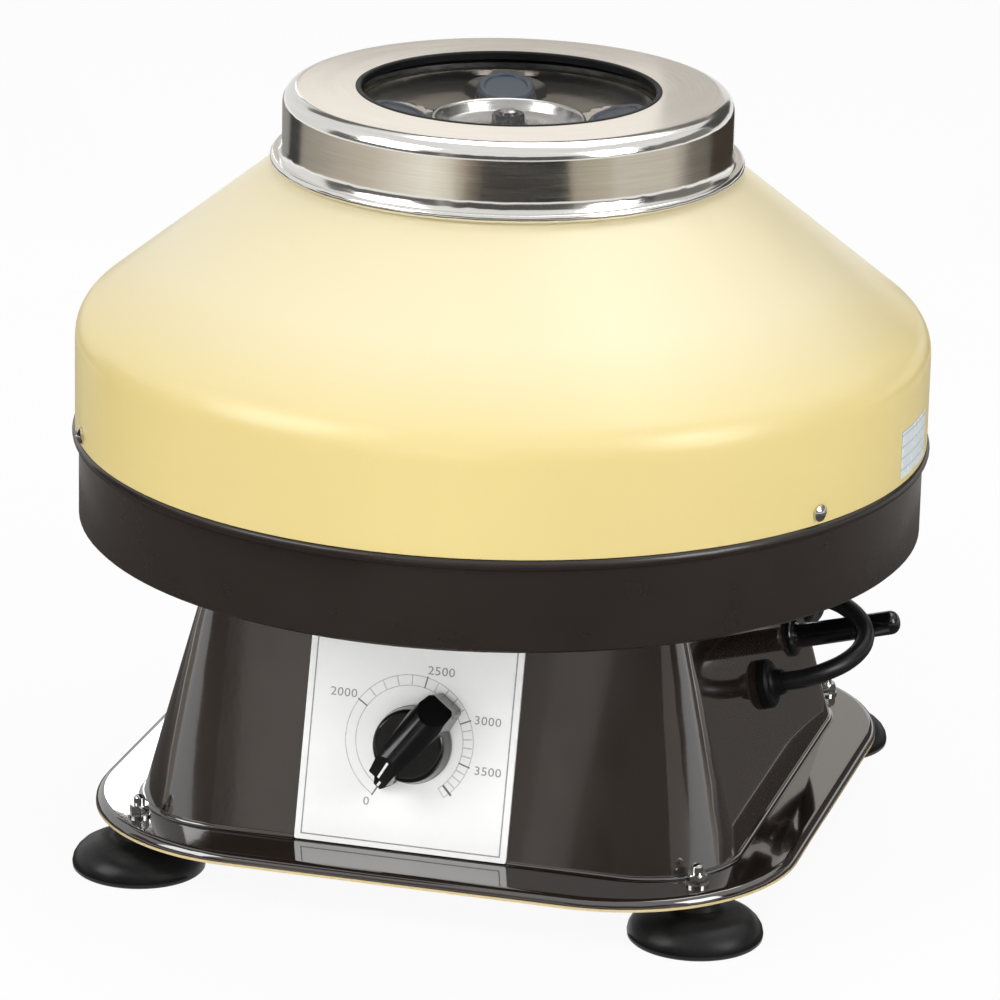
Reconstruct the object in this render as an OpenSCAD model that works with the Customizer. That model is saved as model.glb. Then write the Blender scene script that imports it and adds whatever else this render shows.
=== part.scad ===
// Butterfat centrifuge: bench instrument with a lift-off windowed lid, a tube rotor,
// a spun chamber and a motor stand on suction feet. Units mm, +Z up.
// Origin: centre of the footprint, on the bench. The dial faces -Y.

/* [Base] */
// Height of the pressed edge of the base above the bench
base_edge_z = 18.7; // [12:0.1:30]
// Depth of the pressed base plate, edge to top
base_depth = 5.0; // [3.5:0.1:12]
// Half width of the base plate
base_half = 159.4; // [145:0.1:190]
// Corner radius of the base plate
base_corner = 82.7; // [40:0.1:90]
// Sheet thickness of the base plate
base_sheet = 1.5; // [1:0.1:2.5]
// Distance of each foot from the centre lines
foot_pos = 126.5; // [110:0.1:150]
// Outer radius of a suction cup
cup_radius = 29.5; // [20:0.1:32]
// Diameter of the foot studs
stud_d = 5.0; // [4:0.1:6]

/* [Stand housing] */
// Height of the housing from base plate to bowl
housing_height = 115.0; // [100:0.1:150]
// Half width of the housing at its foot, left to right
housing_half_x = 136.0; // [125:0.1:138]
// Half depth of the housing at its foot, front to back
housing_half_y = 131.0; // [125:0.1:138]
// Corner radius of the housing at its foot
housing_corner = 44.0; // [38:0.1:60]
// Inward lean of the housing walls in degrees
housing_lean = 15.2; // [10:0.1:16]
// Wall of the housing
housing_wall = 2.0; // [1.5:0.1:3]
// Thickness of the housing's top
housing_top = 3.0; // [2:0.1:5]

/* [Dial and knob] */
// Width of the dial plate
dial_width = 95.9; // [80:0.1:110]
// Height of the dial plate along the sloping face
dial_height = 95.0; // [80:0.1:100]
// Thickness of the dial plate
dial_thick = 1.2; // [0.8:0.1:2]
// Centre of the dial plate, left of the middle
dial_shift = 5.3; // [0:0.1:10]
// Knob centre, left of the middle
knob_shift = 2.8; // [0:0.1:10]
// Knob centre above the foot of the housing, along the face
knob_up = 47.4; // [40:0.1:60]
// Diameter of the knob's round body
knob_d = 34.2; // [30:0.1:40]
// Height of the knob's bar above its foot
knob_height = 22.6; // [16:0.1:26]
// Diameter of the control spindle
spindle_d = 6.0; // [4:0.1:6.4]

/* [Bowl and cover] */
// Inner radius of the lower bowl
bowl_radius = 186.8; // [180:0.1:215]
// Height of the bowl from its floor to the middle of its bead
bowl_height = 39.3; // [35:0.1:60]
// Sheet thickness of bowl and cover
sheet = 1.5; // [1:0.1:2.5]
// Radius of the rolled bead on the bowl's rim
bead_r = 2.6; // [2:0.1:4]
// How far the bowl stands up inside the cover
spigot_height = 14.0; // [10:0.1:20]
// Height of the cover's straight skirt
skirt_height = 43.6; // [25:0.1:55]
// Shoulder radius of the cover
shoulder_r = 18.0; // [10:0.1:30]
// Slope of the cover's cone in degrees
cone_slope = 38.7; // [34:0.1:42]
// Outer radius of the cover's neck
neck_radius = 97.3; // [85:0.1:105]
// Height of the neck above the cone
neck_height = 20.0; // [12:0.1:24]

/* [Lid] */
// Height of the lid ring from its flange to its top
lid_height = 33.3; // [26:0.1:45]
// Radial gap between lid wall and neck
lid_gap = 0.6; // [0.4:0.1:1.5]
// Rounding of the lid's top edge
lid_round = 7.5; // [4:0.1:10]
// How far the lid's rolled flange stands out past its side
flange_proud = 5.2; // [2:0.1:8]
// Radius of the opening in the lid ring
opening_r = 67.4; // [60:0.1:72]
// Thickness of the window pane
pane_thick = 3.0; // [2:0.1:4]
// How far the lid lifts off
lid_travel = 90.0; // [60:1:120]

/* [Rotor] */
// Radius of the circle of tube caps
tube_circle = 47.3; // [44:0.1:50]
// Outward lean of the tube sleeves in degrees
tube_lean = 15.0; // [8:0.1:20]
// Outer diameter of a tube sleeve
sleeve_d = 24.6; // [20:0.1:26]
// Wall of a tube sleeve
sleeve_wall = 1.0; // [0.8:0.1:2]
// Length of a tube sleeve
sleeve_length = 158.0; // [120:0.1:165]
// Rotor angle at rest in degrees
rotor_rest = 17.0; // [0:0.1:90]
// Radius of the rotor's polished dish
dish_radius = 66.5; // [62:0.1:70]
// Radius of the hub disc
hub_disc_r = 34.5; // [28:0.1:35]
// Diameter of the shaft in the motor
shaft_d = 12.0; // [8:0.1:14]
// Diameter of the shaft above the motor
spindle_top_d = 16.0; // [14:0.1:20]

/* [Motor] */
// Outer radius of the motor body
motor_r = 52.0; // [44:0.1:56]
// Length of the motor body
motor_length = 60.0; // [56:0.1:62]
// Gap between armature and pole shoes
air_gap = 0.8; // [0.4:0.1:1.5]
// Height of the rubber isolators
isolator_h = 12.0; // [8:0.1:14]

/* [Mains lead] */
// Diameter of the mains lead
cord_d = 8.5; // [7:0.1:8.5]

/* [Hidden] */
$fn = 96;
run_fit = 0.05;
lean_k = tan(housing_lean);
plate_top = base_edge_z + base_depth;
bowl_floor = plate_top + housing_height;
housing_in_top = bowl_floor - housing_top;
bead_z = bowl_floor + bowl_height;
bowl_out = bowl_radius + sheet;
cover_in = bowl_out + 0.2;
cover_out = cover_in + sheet;
skirt_z = bead_z + bead_r;
shoulder_z = skirt_z + skirt_height - 2.5;
shoulder_x = cover_out - shoulder_r;
cone_x = shoulder_x + shoulder_r * sin(cone_slope);
cone_z = shoulder_z + shoulder_r * cos(cone_slope);
lid_in = neck_radius + lid_gap;
lid_out = lid_in + sheet;
flange_out = lid_out + flange_proud;
ledge_x = flange_out - 3.1;
ledge_z = cone_z + (cone_x - ledge_x) * tan(cone_slope);
neck_z = ledge_z + neck_height;
neck_in = neck_radius - sheet;
lid_roll = 2.0;
lid_z = ledge_z + 0.3;
lid_top = lid_z + lid_height;
lid_under = lid_top - sheet;
gasket_h = 1.6;
pane_top = lid_under - gasket_h;
pane_z = pane_top - pane_thick;
pane_r = opening_r + 12.6;
retainer_h = 2.0;
retainer_z = pane_z - retainer_h;
window_stud_r = opening_r + 16.6;
window_stud_d = 3.0;
cap_r = sleeve_d / 2 + 0.5;
cap_top = pane_z - 4.5;
cap_h = 5.0;
dish_at_cap = cap_top - 1.8;
dish_slope = tan(tube_lean);
dish_rise = tan(tube_lean - 5);
dish_t = 5.0;
dish_in = 21.0;
hub_top = cap_top - 8.8;
hub_r = 20.0;
carrier_z = cap_top - sleeve_length * cos(tube_lean) + 20.6;
hub_low = carrier_z - 4.0;
carrier_t = 4.0;
carrier_hole = tube_circle + (cap_top - carrier_z) * dish_slope;
carrier_r = carrier_hole + sleeve_d / 2 + 12.0;
disc_floor = hub_top + 1.5;
nut_h = 5.5;
washer_h = 1.2;
thread_d = 8.0;
disc_rim = 5.2;
iso_pos = 55.0;
iso_r = 10.0;
bolt_d = 5.0;
plate_z = housing_in_top - isolator_h - 4.0;
motor_plate_t = 4.0;
motor_plate_r = 92.0;
bell_t = 12.0;
bell_r = motor_r + 7.0;
body_top = plate_z - bell_t;
body_low = body_top - motor_length;
bell_low = body_low - bell_t;
motor_bolt_r = motor_r + 3.3;
motor_bolt_d = 4.0;
core_low = body_low + 17.0;
core_h = motor_length - 30.0;
armature_r = 29.0;
pole_r = armature_r + air_gap;
bearing_r = 16.0;
bearing_h = 10.0;
low_bearing_z = bell_low + 2.0;
top_bearing_z = body_top + 1.5;
seal_r = 19.0;
comm_r = 14.0;
comm_z = body_low + 3.0;
comm_h = 8.0;
holder_r = 5.4;
side_y = 4.0;
side_z = 70.0;
peg_y = 62.0;
peg_z = 72.8;
peg_len = 51.8;
peg_r = 5.5;
bush_r = 11.0;
bush_bore = cord_d / 2 + 0.1;
label_z = skirt_z + 3.0;
nut_af = 8.0;

// Route of the lead: bushing, over the peg, down behind the housing, to the coil.
route = [
    [104.1, 4, 64.8], [118.6, 4, 68.7], [133, 4, 72.6], [141.5, 5, 74.6],
    [149.5, 9, 77], [157.5, 17.5, 79.8], [162, 29, 82.8], [161.5, 41, 86.1],
    [156, 52, 89.0], [147.5, 62, 90.4], [139, 71, 89.6], [131.8, 81, 86.5],
    [127.5, 92.5, 80.5], [124, 105, 71.5], [116.8, 118, 61], [105, 128, 50],
    [91, 134, 40.5], [77, 138.5, 33.5], [63, 143, 29.4], [50, 148, 28.4],
    [38, 154.5, 28.2], [28, 162.8, 26.3], [19.5, 171.5, 21], [12, 180.5, 14.5],
    [5.5, 190, 8.9], [0, 201, 5.9], [-4, 212.5, 5.2], [-5.5, 223.5, 5.2]
];
route_start = [0.965, 0, 0.262];
route_end = [0, 1, 0];
coil_x = -62;
coil_y = 232;
coil_out = 56.5;
coil_pitch = 9;
coil_z = 5.2;
coil_low_turns = 2.5;
coil_top_turns = 2.25;
coil_steps = 24;
coil_tail = 42;
cord_r = cord_d / 2;
tie_angle = 135;

// Shape helpers

function arc(cx, cz, r, a0, a1, n) =
    [for (i = [0 : n]) [cx + r * cos(a0 + (a1 - a0) * i / n), cz + r * sin(a0 + (a1 - a0) * i / n)]];

module ring(r_out, r_in, h) {
    difference() {
        cylinder(r = r_out, h = h);
        translate([0, 0, -1]) cylinder(r = r_in, h = h + 2);
    }
}

// Flat rounded rectangle of half sizes hx, hy
module flat_round(hx, hy, r) {
    square([2 * hx, 2 * (hy - r)], center = true);
    square([2 * (hx - r), 2 * hy], center = true);
    for (sx = [-1, 1], sy = [-1, 1]) translate([sx * (hx - r), sy * (hy - r)]) circle(r = r);
}

// Sweeps a profile round a rounded rectangle: profile x is outward, y is up
module sweep_round(hx, hy, r, pts) {
    for (k = [0 : 3]) {
        sx = (k == 0 || k == 3) ? 1 : -1;
        sy = (k < 2) ? 1 : -1;
        translate([sx * (hx - r), sy * (hy - r), 0])
            rotate([0, 0, 90 * k])
            rotate_extrude(angle = 90) translate([r, 0]) polygon(pts);
    }
    for (s = [0, 180]) {
        rotate([0, 0, s]) translate([hx, hy - r, 0]) rotate([90, 0, 0])
            linear_extrude(height = 2 * (hy - r)) polygon(pts);
        rotate([0, 0, s + 90]) translate([hy, hx - r, 0]) rotate([90, 0, 0])
            linear_extrude(height = 2 * (hx - r)) polygon(pts);
    }
}

// Leaning body with cone corners: drop is how much it is smaller all round
module lean_body(z0, z1, drop) {
    cx = housing_half_x - housing_corner;
    cy = housing_half_y - housing_corner;
    r0 = housing_corner - drop - (z0 - plate_top) * lean_k;
    r1 = housing_corner - drop - (z1 - plate_top) * lean_k;
    for (sx = [-1, 1], sy = [-1, 1])
        translate([sx * cx, sy * cy, z0]) cylinder(r1 = r0, r2 = r1, h = z1 - z0);
    translate([0, cy, 0]) rotate([90, 0, 0]) linear_extrude(height = 2 * cy)
        polygon([[-cx - r0, z0], [cx + r0, z0], [cx + r1, z1], [-cx - r1, z1]]);
    translate([-cx, 0, 0]) rotate([90, 0, 90]) linear_extrude(height = 2 * cx)
        polygon([[-cy - r0, z0], [cy + r0, z0], [cy + r1, z1], [-cy - r1, z1]]);
}

// Frame on the sloping front: x right, y up the face, z out of the face
module on_front() {
    translate([0, -housing_half_y, plate_top]) rotate([90 - housing_lean, 0, 0]) children();
}

module at_knob() {
    on_front() translate([-knob_shift, knob_up, 0]) children();
}

// Frame on the sloping right side at height z: z out of the face
module on_right(y, z) {
    translate([housing_half_x - (z - plate_top) * lean_k, y, z])
        rotate([0, 90 - housing_lean, 0]) children();
}

module at_feet() {
    for (sx = [-1, 1], sy = [-1, 1]) translate([sx * foot_pos, sy * foot_pos, 0]) children();
}

module at_isolators() {
    for (sx = [-1, 1], sy = [-1, 1]) translate([sx * iso_pos, sy * iso_pos, 0]) children();
}

module at_brackets() {
    for (a = [0, 180]) {
        rotate([0, 0, a]) translate([housing_half_x - housing_wall - 2.0, 0, plate_top])
            children();
        rotate([0, 0, a + 90]) translate([housing_half_y - housing_wall - 2.0, 55, plate_top])
            children();
    }
}

// Frame of each tube: z runs up the tube, its origin is the middle of the cap's top
module at_tubes() {
    for (k = [0 : 3]) rotate([0, 0, rotor_rest + 90 * k])
        translate([tube_circle, 0, cap_top]) rotate([0, -tube_lean, 0]) children();
}

module hex(af, h) {
    cylinder(r = af / sqrt(3), h = h, $fn = 6);
}

function add3(a, b) = [a[0] + b[0], a[1] + b[1], a[2] + b[2]];
function unit(v) = v / norm(v);
function curve(p0, p1, p2, p3, t) =
    0.5 * ((2 * p1) + (p2 - p0) * t + (2 * p0 - 5 * p1 + 4 * p2 - p3) * t * t
    + (3 * p1 - p0 - 3 * p2 + p3) * t * t * t);
function smooth(p, n) = let (m = len(p)) concat(
    [for (i = [0 : m - 2], k = [0 : n - 1])
        curve(p[max(i - 1, 0)], p[i], p[i + 1], p[min(i + 2, m - 1)], k / n)],
    [p[m - 1]]);
function tangent(p, i, a, b) =
    i == 0 ? a : i == len(p) - 1 ? b : unit(p[i + 1] - p[i - 1]);

// One unbroken tube along the points p, square at both ends
module tube(p, r, sides, a, b) {
    m = len(p);
    pts = [for (i = [0 : m - 1]) let (
            t = tangent(p, i, a, b),
            u = unit(cross([0, 0, 1], t)),
            v = cross(t, u))
        for (j = [0 : sides - 1]) p[i] + r * (cos(360 * j / sides) * u + sin(360 * j / sides) * v)];
    walls = [for (i = [0 : m - 2], j = [0 : sides - 1]) let (
            q = (j + 1) % sides,
            w = i * sides)
        each [[w + j, w + sides + j, w + sides + q], [w + j, w + sides + q, w + q]]];
    first = [for (j = [1 : sides - 2]) [0, j, j + 1]];
    e = (m - 1) * sides;
    last = [for (j = [1 : sides - 2]) [e, e + j + 1, e + j]];
    polyhedron(points = pts, faces = concat(walls, first, last), convexity = 10);
}

// Coil: spirals in below, climbs where it turns back, spirals out above
coil_total = coil_low_turns + 0.5 + coil_top_turns;
coil_in = coil_out - coil_pitch * coil_low_turns;
function coil_r(t) =
    t < coil_low_turns + 0.25 ? coil_out - coil_pitch * t
    : coil_in - coil_pitch * (coil_low_turns + 0.5 - t);
function coil_h(t) =
    t < coil_low_turns ? coil_z
    : t > coil_low_turns + 0.5 ? coil_z + coil_pitch
    : coil_z + coil_pitch * (1 - cos(360 * (t - coil_low_turns))) / 2;
function coil_at(t) =
    [coil_x + coil_r(t) * cos(360 * t), coil_y + coil_r(t) * sin(360 * t), coil_h(t)];
coil_n = round(coil_total * coil_steps);
coil_loop = [for (i = [0 : coil_n]) coil_at(i / coil_steps)];
coil_first = add3(coil_loop[0], [0, -cord_d, 0]);
coil_last = add3(coil_loop[coil_n], [-coil_tail, 0, 0]);
coil_path = concat([coil_first], coil_loop, [add3(coil_loop[coil_n], [-cord_d, 0, 0]), coil_last]);
coil_gap = min([for (i = [0 : coil_n]) for (j = [i + 12 : coil_n])
    if (j <= coil_n) norm(coil_loop[i] - coil_loop[j])]) - cord_d;
run_path = smooth(route, 2);
function path_len(p, i = 1) = i < len(p) ? norm(p[i] - p[i - 1]) + path_len(p, i + 1) : 0;
echo(coil_gap = coil_gap, coil_length = path_len(coil_path), run_length = path_len(run_path));

// Base and feet

module base_plate() color([0.20, 0.15, 0.13]) difference() {
    union() {
        sweep_round(base_half, base_half, base_corner, concat(
            [[0, base_edge_z]],
            arc(-4, plate_top - 4, 4, 0, 90, 6),
            arc(-4, plate_top - 4, 4 - base_sheet, 90, 0, 6),
            [[-base_sheet, base_edge_z]]));
        translate([0, 0, plate_top - base_sheet]) linear_extrude(height = base_sheet)
            flat_round(base_half - 3.99, base_half - 3.99, base_corner - 3.99);
    }
    at_feet() translate([0, 0, plate_top - 5]) cylinder(d = stud_d + 0.4, h = 10);
    at_brackets() translate([-9, 0, -5]) cylinder(d = 4.5, h = 10);
}

module suction_cup() color([0.07, 0.07, 0.07]) rotate_extrude() polygon([
    [0, 3.4], [cup_radius - 11.5, 3.4], [cup_radius - 4.5, 0], [cup_radius - 0.9, 0],
    [cup_radius - 0.2, 0.7], [cup_radius, 2.6], [cup_radius - 0.5, 5.0],
    [cup_radius - 1.9, 7.4], [cup_radius - 4.1, 9.6], [cup_radius - 7.0, 11.3],
    [cup_radius - 11.0, 12.7], [13, 13.7], [11.0, 14.8], [10.2, base_edge_z - 1.2],
    [10.0, plate_top - base_sheet - 2.6], [8.0, plate_top - base_sheet - 0.1],
    [3.2, plate_top - base_sheet - 0.1],
    [3.2, 9.8], [8.2, 9.8], [8.2, 6.6], [0, 6.6]]);

module suction_cup_front_left() translate([-foot_pos, -foot_pos, 0]) suction_cup();
module suction_cup_front_right() translate([foot_pos, -foot_pos, 0]) suction_cup();
module suction_cup_rear_left() translate([-foot_pos, foot_pos, 0]) suction_cup();
module suction_cup_rear_right() translate([foot_pos, foot_pos, 0]) suction_cup();

module foot_studs() color([0.75, 0.76, 0.77]) at_feet() {
    translate([0, 0, 7.0]) cylinder(r = 7.8, h = 2.5);
    translate([0, 0, 7.0]) cylinder(d = stud_d, h = plate_top + 8.0 - 7.0);
    intersection() {
        translate([0, 0, plate_top + 7.0]) sphere(d = stud_d + 0.9);
        translate([0, 0, plate_top + 8.0]) cylinder(d = stud_d, h = 4);
    }
}

module foot_nuts() color([0.80, 0.81, 0.82]) at_feet() translate([0, 0, plate_top + 0.05]) {
    difference() {
        union() {
            cylinder(r = nut_af / 2 + 1.2, h = 1.0);
            translate([0, 0, 1.0]) intersection() {
                hex(nut_af, 4.4);
                cylinder(r1 = nut_af / sqrt(3) + 1.6, r2 = nut_af / 2 + 0.1, h = 4.4);
            }
        }
        translate([0, 0, -1]) cylinder(d = stud_d + 0.1, h = 8);
    }
}

// Stand housing and what it carries

module stand_housing() color([0.19, 0.14, 0.12]) difference() {
    union() {
        lean_body(plate_top + 0.1, bowl_floor - 0.1, 0);
        translate([0, 0, plate_top + 0.1]) sweep_round(housing_half_x, housing_half_y, housing_corner,
            concat([[-1, 0]], arc(1.8, 1.8, 1.8, 270, 180, 5), [[-1, 1.8]]));
    }
    on_front() translate([-dial_shift - dial_width / 2 - 0.3, -2, 0]) cube([dial_width + 0.6, 8, 6]);
    lean_body(plate_top - 1, housing_in_top, housing_wall);
    translate([0, 0, housing_in_top - 1]) cylinder(r = 22, h = housing_top + 2);
    at_isolators() translate([0, 0, housing_in_top - 1]) cylinder(d = bolt_d + 0.5, h = housing_top + 2);
    at_knob() translate([0, 0, -6]) cylinder(d = 9.6, h = 10);
    on_right(side_y, side_z) translate([0, 0, -6]) cylinder(r = 7, h = 10);
    on_right(peg_y, peg_z) translate([0, 0, -6]) cylinder(r = 2.6, h = 10);
}

// Angle tabs inside the housing's foot
module housing_brackets() color([0.45, 0.45, 0.44]) difference() {
    at_brackets() {
        translate([-17, -10, 0.3]) cube([16, 20, 3]);
        translate([-4.2, -10, 0.3]) cube([3, 20, 10]);
    }
    at_brackets() translate([-9, 0, -1]) cylinder(d = 4.05, h = 10);
}

module housing_screws() color([0.72, 0.72, 0.70]) at_brackets() translate([-9, 0, 0]) {
    translate([0, 0, -base_sheet - 0.05]) cylinder(d = 4.0, h = 8);
    translate([0, 0, -base_sheet - 2.6]) cylinder(r1 = 3.4, r2 = 3.9, h = 2.55);
}

module dial_plate() color([0.93, 0.93, 0.91]) difference() {
    on_front() translate([-dial_shift, dial_foot + dial_height / 2, 0.05])
        linear_extrude(height = dial_thick) flat_round(dial_width / 2, dial_height / 2, 0.9);
    at_knob() translate([0, 0, -1]) cylinder(d = 9.6, h = 10);
}

module speed_control() color([0.16, 0.13, 0.11]) at_knob() difference() {
    union() {
        translate([0, 0, -26]) cylinder(r = 21, h = 23.6);
        translate([0, 0, -3]) cylinder(d = 9.2, h = 3 + dial_thick + 3.2);
        for (a = [-40, 0, 40]) rotate([0, 0, a - 90]) translate([19, -3, -22]) cube([9, 6, 1.6]);
    }
    translate([0, 0, -16]) cylinder(d = spindle_d + 2 * run_fit, h = 40);
}

module control_nut() color([0.70, 0.70, 0.68]) at_knob() translate([0, 0, dial_thick + 0.1]) difference() {
    hex(13, 2.4);
    translate([0, 0, -1]) cylinder(d = 9.25, h = 6);
}

module cord_bushing() color([0.10, 0.10, 0.10]) on_right(side_y, side_z) difference() {
    rotate_extrude() polygon([
        [0, -14], [6.2, -14], [6.8, -5.4], [8.5, -5.0], [8.5, -2.4], [6.8, -2.2],
        [6.8, 0.05], [bush_r, 0.05], [bush_r + 0.2, 0.6], [bush_r, 3.6], [bush_r - 1.2, 4.8],
        [7.6, 5.2], [6.4, 6.4], [5.3, 10], [0, 10]]);
    translate([0, 0, -20]) cylinder(r = bush_bore, h = 40);
}

module cord_peg() color([0.06, 0.06, 0.06]) on_right(peg_y, peg_z) {
    rotate_extrude() polygon(concat(
        [[0, 0.05], [9, 0.05], [9, 1.8], [8.2, 2.6], [6.4, 3.4], [peg_r, 5.0]],
        arc(peg_r - 4.2, peg_len - 4.2, 4.2, 0, 90, 6),
        [[0, peg_len]]));
    translate([0, 0, -9]) cylinder(r = 2.5, h = 9.2);
    translate([0, 0, -6.6]) hex(8, 4.2);
}

// Bowl, cover and their fasteners

module lower_bowl() color([0.20, 0.16, 0.14]) difference() {
    rotate_extrude($fn = 180) polygon(concat(
        [[seal_r - 4, bowl_floor], [bowl_out - 1.2, bowl_floor], [bowl_out, bowl_floor + 1.2],
         [bowl_out, bead_z - bead_r - 1.4]],
        arc(bowl_out + 0.4, bead_z, bead_r, 262, 458, 10),
        [[bowl_out, bead_z + bead_r], [bowl_out, bead_z + bead_r + spigot_height],
         [bowl_radius, bead_z + bead_r + spigot_height], [bowl_radius, bowl_floor + 3.2],
         [bowl_radius - 1.2, bowl_floor + 2], [seal_r - 4, bowl_floor + 2]]));
    at_isolators() translate([0, 0, bowl_floor - 1]) cylinder(d = bolt_d + 0.5, h = 5);
    at_cover_screws() translate([0, 0, -6]) cylinder(d = 4.3, h = 10);
}

module at_cover_screws() {
    for (a = [-29, 90, 210]) rotate([0, 0, a])
        translate([cover_out, 0, skirt_z + 5.2]) rotate([0, 90, 0]) children();
}

module bowl_bolts() color([0.78, 0.78, 0.77]) at_isolators() {
    translate([0, 0, bowl_floor + 2.05]) intersection() {
        cylinder(r = 4.8, h = 3.2);
        translate([0, 0, -4.2]) sphere(r = 7.2);
    }
    translate([0, 0, plate_z - 7]) cylinder(d = bolt_d, h = bowl_floor + 2.2 - plate_z + 7);
}

module bowl_nuts() color([0.70, 0.70, 0.68]) at_isolators() translate([0, 0, plate_z - 4.15]) difference() {
    hex(nut_af, 4.1);
    translate([0, 0, -1]) cylinder(d = bolt_d + 0.1, h = 8);
}

function cover_line(g) = concat(
    [[cover_out - g, skirt_z + 0.1], [cover_out - g, shoulder_z]],
    arc(shoulder_x, shoulder_z, shoulder_r - g, 9, 90 - cone_slope, 6),
    [[ledge_x - g * 0.35, ledge_z - g * 0.9], [neck_radius + 2.0 - g, ledge_z + 0.6 - g],
     [neck_radius - g, ledge_z + 2.4 - g], [neck_radius - g, neck_z]]);
function flip(p) = [for (i = [0 : len(p) - 1]) p[len(p) - 1 - i]];

module chamber_cover() color([0.95, 0.90, 0.72]) difference() {
    rotate_extrude($fn = 180) polygon(concat(cover_line(0), flip(cover_line(sheet))));
    at_cover_screws() translate([0, 0, -6]) cylinder(d = 4.3, h = 10);
}

module cover_screws() color([0.82, 0.82, 0.82]) at_cover_screws() difference() {
    union() {
        translate([0, 0, -7]) cylinder(d = 4, h = 7.1);
        intersection() {
            translate([0, 0, 0.05]) cylinder(r = 3.7, h = 2.5);
            translate([0, 0, -3.3]) sphere(r = 5.8);
        }
    }
    translate([-0.5, -5, 1.4]) cube([1, 10, 3]);
}

module rating_label() color([0.90, 0.88, 0.82]) intersection() {
    translate([0, 0, label_z]) ring(cover_out + 0.45, cover_out + 0.05, 21.2);
    rotate([0, 0, -8]) translate([0, -2, label_z]) cube([cover_out + 9, 38, 21.2]);
}

// Motor

module motor_plate() color([0.50, 0.51, 0.52]) translate([0, 0, plate_z]) difference() {
    cylinder(r = motor_plate_r, h = motor_plate_t);
    translate([0, 0, -1]) cylinder(r = 14, h = 8);
    at_isolators() translate([0, 0, -1]) cylinder(d = bolt_d + 0.5, h = 8);
    at_motor_bolts() translate([0, 0, -1]) cylinder(d = motor_bolt_d + 0.1, h = 8);
}

module motor_isolators() color([0.09, 0.09, 0.09]) at_isolators()
    translate([0, 0, plate_z + motor_plate_t + 0.05]) difference() {
        rotate_extrude() polygon([[0, 0], [iso_r, 0], [iso_r, 2], [iso_r - 1.5, 4],
            [iso_r - 1.5, isolator_h - 4], [iso_r, isolator_h - 2], [iso_r, isolator_h - 0.1],
            [0, isolator_h - 0.1]]);
        translate([0, 0, -1]) cylinder(d = bolt_d + 0.2, h = 20);
    }

module motor_body() color([0.30, 0.31, 0.32]) difference() {
    translate([0, 0, body_low + 0.05]) ring(motor_r, motor_r - 4, motor_length - 0.1);
    for (a = [0, 180]) rotate([0, 0, a]) translate([motor_r - 10, 0, comm_z + comm_h / 2])
        rotate([0, 90, 0]) cylinder(r = holder_r + 0.05, h = 20);
}

module at_motor_bolts() {
    for (a = [45 : 90 : 315]) rotate([0, 0, a]) translate([motor_bolt_r, 0, 0]) children();
}

module bell(seat, side) difference() {
    cylinder(r = bell_r, h = bell_t);
    translate([0, 0, seat]) cylinder(r = bearing_r + 0.02, h = bearing_h);
    translate([0, 0, -1]) cylinder(r = 9.5, h = bell_t + 2);
    translate([0, 0, side > 0 ? bell_t - 8 : -1]) ring(motor_r - 5, 21, 9);
    at_motor_bolts() translate([0, 0, -1]) cylinder(d = motor_bolt_d + 0.3, h = bell_t + 2);
}

module motor_upper_bell() color([0.62, 0.63, 0.64]) translate([0, 0, body_top])
    difference() {
        bell(1.5, -1);
        translate([0, 0, -1]) cylinder(r = bearing_r + 0.02, h = 3);
    }

module motor_lower_bell() color([0.62, 0.63, 0.64]) translate([0, 0, bell_low])
    difference() {
        bell(2, 1);
        translate([0, 0, 2]) cylinder(r = bearing_r + 0.02, h = bell_t);
    }

module motor_bolts() color([0.72, 0.72, 0.71]) at_motor_bolts() {
    translate([0, 0, bell_low - 2.85]) cylinder(r = 3.6, h = 2.8);
    translate([0, 0, bell_low - 1]) cylinder(d = motor_bolt_d, h = plate_z + 3.5 - bell_low + 1);
}

module stator_core() color([0.42, 0.43, 0.46]) translate([0, 0, core_low]) {
    ring(motor_r - 4.05, 38, core_h);
    for (a = [90, 270]) rotate([0, 0, a]) difference() {
        intersection() {
            ring(39, pole_r, core_h);
            translate([0, -22, 0]) cube([60, 44, core_h]);
        }
    }
}

module field_coils() color([0.55, 0.30, 0.14]) translate([0, 0, core_low - 4]) for (a = [0, 180])
    rotate([0, 0, a]) intersection() {
        ring(37.7, pole_r + 0.6, core_h + 8);
        translate([8, -19, 0]) cube([60, 38, core_h + 8]);
    }

module brush_holders() color([0.30, 0.18, 0.10]) for (a = [0, 180]) rotate([0, 0, a])
    translate([0, 0, comm_z + comm_h / 2]) rotate([0, 90, 0]) difference() {
        union() {
            translate([0, 0, 22]) cylinder(r = holder_r, h = motor_r - 21.5);
            translate([0, 0, motor_r + 0.02]) cylinder(r = holder_r + 1.4, h = 3.5);
        }
        translate([-2.6, -3.1, 10]) cube([5.2, 6.2, 36]);
        translate([-0.6, -6, motor_r + 2.5]) cube([1.2, 12, 3]);
    }

module carbon_brushes() color([0.12, 0.12, 0.13]) for (a = [0, 180]) rotate([0, 0, a])
    translate([comm_r + 0.3, -3, comm_z + comm_h / 2 - 2.5]) cube([20, 6, 5]);

module shaft_bearings() color([0.74, 0.75, 0.77]) for (z = [low_bearing_z, top_bearing_z])
    translate([0, 0, z]) difference() {
    cylinder(r = bearing_r, h = bearing_h);
    translate([0, 0, -1]) cylinder(r = shaft_d / 2 + run_fit, h = bearing_h + 2);
    translate([0, 0, -1]) ring(bearing_r - 2.4, shaft_d / 2 + 2.6, 2);
    translate([0, 0, bearing_h - 1]) ring(bearing_r - 2.4, shaft_d / 2 + 2.6, 2);
}

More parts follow.
